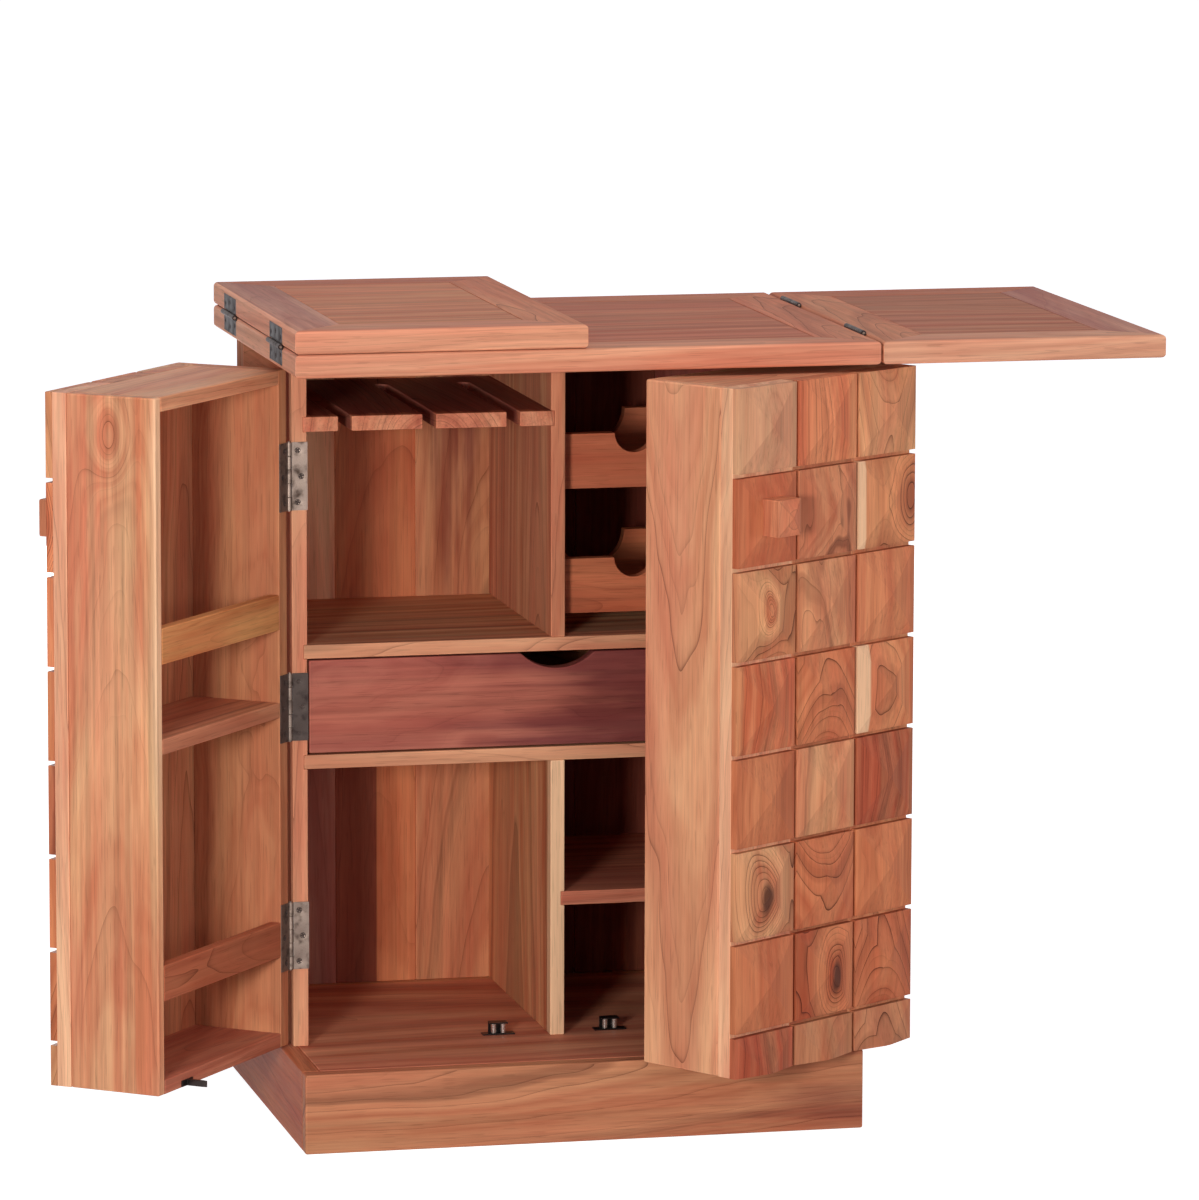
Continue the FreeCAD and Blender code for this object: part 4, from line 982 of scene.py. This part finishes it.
def leaf_parts(found, fixed, seed, burn):
    """Sheet, screws and this leaf's share of the five knuckles, in run, reach and lift, and how burnt
    each point is: as told on the sheet, nearly black on the screws, less on the knuckles."""
    start, length, (front, back) = found["start"], found["length"], found["faces"]
    third, fifth = length / len(SCREW_IN), length / KNUCKLES
    along = (start + SCREW_FROM_END, start + length / 2, start + length - SCREW_FROM_END)
    turns = np.random.default_rng(seed).uniform(0, np.pi / 2, len(SCREW_IN))
    holes = [np.array(hole) for hole in zip(along, SCREW_IN)]
    plates = [screw_plate(start + i * third, start + (i + 1) * third, BARREL_ROOM, found["reach"],
                          hole, front, back) for i, hole in enumerate(holes)]
    heads = [screw_head(hole, front, turn) for hole, turn in zip(holes, turns)]
    barrel = [knuckle(start + i * fifth + HALF_PLAY, start + (i + 1) * fifth - HALF_PLAY,
                      found["faces"]) for i in range(0 if fixed else 1, KNUCKLES, 2)]
    groups = ((plates, burn), (heads, SCREW_BURN), (barrel, burn * KNUCKLE_BURN))
    burnt = [np.full(len(points), share) for group, share in groups for points, _ in group]
    return *joined(plates + heads + barrel), np.concatenate(burnt)


print("a hinge has", KNUCKLES, "knuckles and", 2 * len(SCREW_IN), "screws")

# %% [markdown]
# With the parts at hand the leaves of all ten hinges are made. Those on the carcass and the top keep
# still and have three knuckles; those on the doors and the folding leaves have two, in between.

# %% Hinges
SHARP_STEEL = math.radians(25)


def dress_hinges(node, finish, fixed, joint_names, burns):
    """New leaves in place of the node's: drawn in each hinge's own directions, set in the shut body,
    and opened with it. The joint is the nearer one where the node has hinges on both sides. burns
    says how dark the leaves are, from the top down."""
    body = frame["nodes"][node]["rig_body"]
    corners, triangles, board = boards_of(node)
    square = shut(corners.astype(float), body)
    leaves = [square[np.unique(triangles[board == b])] for b in range(board.max() + 1)]
    below = [-round(leaf[:, 2].mean(), 2) for leaf in leaves]
    rows = np.unique(below, return_inverse=True)[1]
    parts, burnt = [], []
    for seed, (leaf, row) in enumerate(zip(leaves, rows)):
        joint = min((JOINTS[name] for name in joint_names),
                    key=lambda one: abs(one["pos_m"][0] - leaf[:, 0].mean()))
        found = hinge_axes(leaf, joint)
        points, blocks, burn = leaf_parts(found, fixed, seed, burns[row % len(burns)])
        parts.append((shut(points @ found["axes"] + found["pin"], body, back=True), blocks))
        burnt.append(burn)
    points, blocks = joined(parts)
    mesh = bpy.data.meshes.new(node)
    mesh.from_pydata(points, [], [face for block in blocks for face in block.tolist()])
    sound = bmesh.new()
    sound.from_mesh(mesh)
    bmesh.ops.recalc_face_normals(sound, faces=sound.faces)
    sound.to_mesh(mesh)
    sound.free()
    mesh.polygons.foreach_set("use_smooth", np.ones(len(mesh.polygons), bool))
    mesh.set_sharp_from_angle(angle=SHARP_STEEL)
    carry(mesh, "burnt", "POINT", np.concatenate(burnt))
    print("hinge leaves", node, len(leaves), "faces", len(mesh.polygons))
    own_piece(mesh, node + "_steel", finish, node)


CARCASS_BURNS, DOOR_BURNS, TOP_BURNS = (0.05, 0.8, 0.15), (0.10, 0.6, 0.15), (0.85,)
dress_hinges("carcass_hinge_leaves", AGED_STEEL, True, ("left_door", "right_door"), CARCASS_BURNS)
dress_hinges("top_hinge_leaves", DARK_STEEL, True, ("left_leaf", "right_leaf"), TOP_BURNS)
for side in ("left", "right"):
    dress_hinges(f"{side}_door_hinge_leaves", AGED_STEEL, False, (f"{side}_door",), DOOR_BURNS)
    dress_hinges(f"{side}_leaf_hinge_leaves", DARK_STEEL, False, (f"{side}_leaf",), TOP_BURNS)

# %% [markdown]
# Pins, strikers and roller catches keep their CAD shapes; they only get softened edges and steel.

# %% Small steel
PIN_EDGE, CATCH_EDGE = 0.4 * MM, 0.25 * MM


def dress_steel(node, finish, radius):
    """A CAD node with softened edges, in steel."""
    own_piece(softened(node, radius), node + "_steel", finish, node)


dress_steel("hinge_pins", AGED_STEEL, PIN_EDGE)
dress_steel("catch_housings", BLACK_STEEL, CATCH_EDGE)
for side in ("left", "right"):
    dress_steel(f"{side}_door_striker", BLACK_STEEL, CATCH_EDGE)
    for number in (1, 2):
        dress_steel(f"{side}_catch_roller_{number}", BRIGHT_STEEL, CATCH_EDGE)
print("nodes left bare:", [name for name, node in frame["nodes"].items() if not node.hide_render])

# %% [markdown]
# The studio is a pale floor without end. More light would make it white, but would bleach the wood
# too. Instead, to the camera and in mirrors, the floor adds a little light of its own, so it reads as
# white paper while the shadow of the piece stays on it. The sky does the same: white to the camera,
# and to everything else a weak cool light that fills the shadows.

# %% Floor and sky
FLOOR = 40.0
PAPER = (0.6, 0.6, 0.6, 1.0)
PAPER_GLOW = 0.92
SKY = 0.24
COOL = (0.95, 0.97, 1.30, 1.0)


def seen(finish):
    """1 for what is seen directly, mirrored or through something clear, 0 for the light on things:
    the largest of three kinds of ray."""
    path = finish.node("ShaderNodeLightPath").socket.node
    rays = [Socket(finish, path.outputs[f"Is {kind} Ray"])
            for kind in ("Camera", "Glossy", "Transmission")]
    either = rays[0].math("MAXIMUM", rays[0], rays[1])
    return either.math("MAXIMUM", either, rays[2])


floor_mesh = bpy.data.meshes.new("floor")
floor_mesh.from_pydata(
    [(-FLOOR, -FLOOR, 0), (FLOOR, -FLOOR, 0), (FLOOR, FLOOR, 0), (-FLOOR, FLOOR, 0)],
    [], [(0, 1, 2, 3)])
floor = bpy.data.objects.new("floor", floor_mesh)
bpy.context.scene.collection.objects.link(floor)
paper = Finish(bpy.data.materials.new("white_paper"))
lit = paper.node("ShaderNodeBsdfDiffuse", sockets={"Color": PAPER})
glow = paper.node("ShaderNodeEmission", sockets={"Strength": seen(paper) * PAPER_GLOW})
both = paper.node("ShaderNodeAddShader", sockets={0: lit, 1: glow})
paper.node("ShaderNodeOutputMaterial", sockets={"Surface": both})
floor_mesh.materials.append(paper.owner)

sky = Finish(bpy.data.worlds.new("studio"))
white = seen(sky)
shine = sky.node("ShaderNodeBackground", sockets={
    "Color": sky.mix(white, COOL, CLEAR), "Strength": white * (1.0 - SKY) + SKY})
sky.node("ShaderNodeOutputWorld", sockets={"Surface": shine})
bpy.context.scene.world = sky.owner
print("floor", 2 * FLOOR, "m wide, sky", SKY)

# %% [markdown]
# The shadows in the bays tell where the key light stands: some 25 degrees to the left and hardly
# higher than the piece. A weak softbox faces the bays, so that their backs don't drown. A box above
# lights the top; one behind and one beside light what the photograph doesn't show.

# %% Softboxes
MIDDLE = (0.0, 0.2, 0.45)
SOFTBOXES = {
    "key": ((-2.38, -4.45, 1.15), 0.7, 160),
    "facing": ((1.4, -4.8, 1.1), 1.2, 26),
    "above": ((0.3, -0.6, 4.0), 2.0, 34),
    "behind": ((0.4, 4.6, 0.5), 1.0, 70),
    "beside": ((4.2, -1.2, 0.8), 1.0, 30),
}


def softbox(name, place, size, power):
    """A square of light that looks at the middle of the piece."""
    light = bpy.data.lights.new(name, "AREA")
    light.shape = "SQUARE"
    light.size = size
    light.energy = power
    lamp = bpy.data.objects.new(name, light)
    lamp.location = place
    lamp.rotation_euler = (Vector(MIDDLE) - Vector(place)).to_track_quat("-Z", "Y").to_euler()
    bpy.context.scene.collection.objects.link(lamp)


for name, (place, size, power) in SOFTBOXES.items():
    softbox(name, place, size, power)
print("softboxes:", ", ".join(SOFTBOXES))

# %% [markdown]
# The camera was worked out from the photograph: some forty corners of the top, the plinth and the
# doors, fitted to one box model with the focal length free. It stands far off with a long lens, a
# little to the left, and looks slightly down. The lens and the middle of the picture are in pixels of
# the photograph, and are turned into millimetres and shift here.

# %% Camera
STAND = (-1.7137, -7.5179, 1.7728)
TURN, DIP, ROLL = math.radians(12.814), math.radians(8.412), math.radians(0.133)
FOCAL, MID_X, MID_Y = 7208.2, 584.6, 569.5
WIDE, TALL, SENSOR = 1199, 1200, 36.0
SEES_AS_FAR_AS = 200
ahead = Vector((math.sin(TURN) * math.cos(DIP), math.cos(TURN) * math.cos(DIP), -math.sin(DIP)))
level = Vector((math.cos(TURN), -math.sin(TURN), 0))
upward = level.cross(ahead)
right = math.cos(ROLL) * level + math.sin(ROLL) * upward
upright = math.cos(ROLL) * upward - math.sin(ROLL) * level
lens = bpy.data.cameras.new("camera")
lens.sensor_width = SENSOR
lens.lens = FOCAL * SENSOR / max(WIDE, TALL)
lens.shift_x = (WIDE / 2 - MID_X) / max(WIDE, TALL)
lens.shift_y = (MID_Y - TALL / 2) / max(WIDE, TALL)
lens.clip_end = SEES_AS_FAR_AS
camera = bpy.data.objects.new("camera", lens)
camera.matrix_world = Matrix((right, upright, -ahead)).transposed().to_4x4()
camera.location = STAND
bpy.context.scene.collection.objects.link(camera)
bpy.context.scene.camera = camera
bpy.context.scene.view_settings.view_transform = "Standard"
print("lens", round(lens.lens, 1), "mm, shift", round(lens.shift_x, 4), round(lens.shift_y, 4))
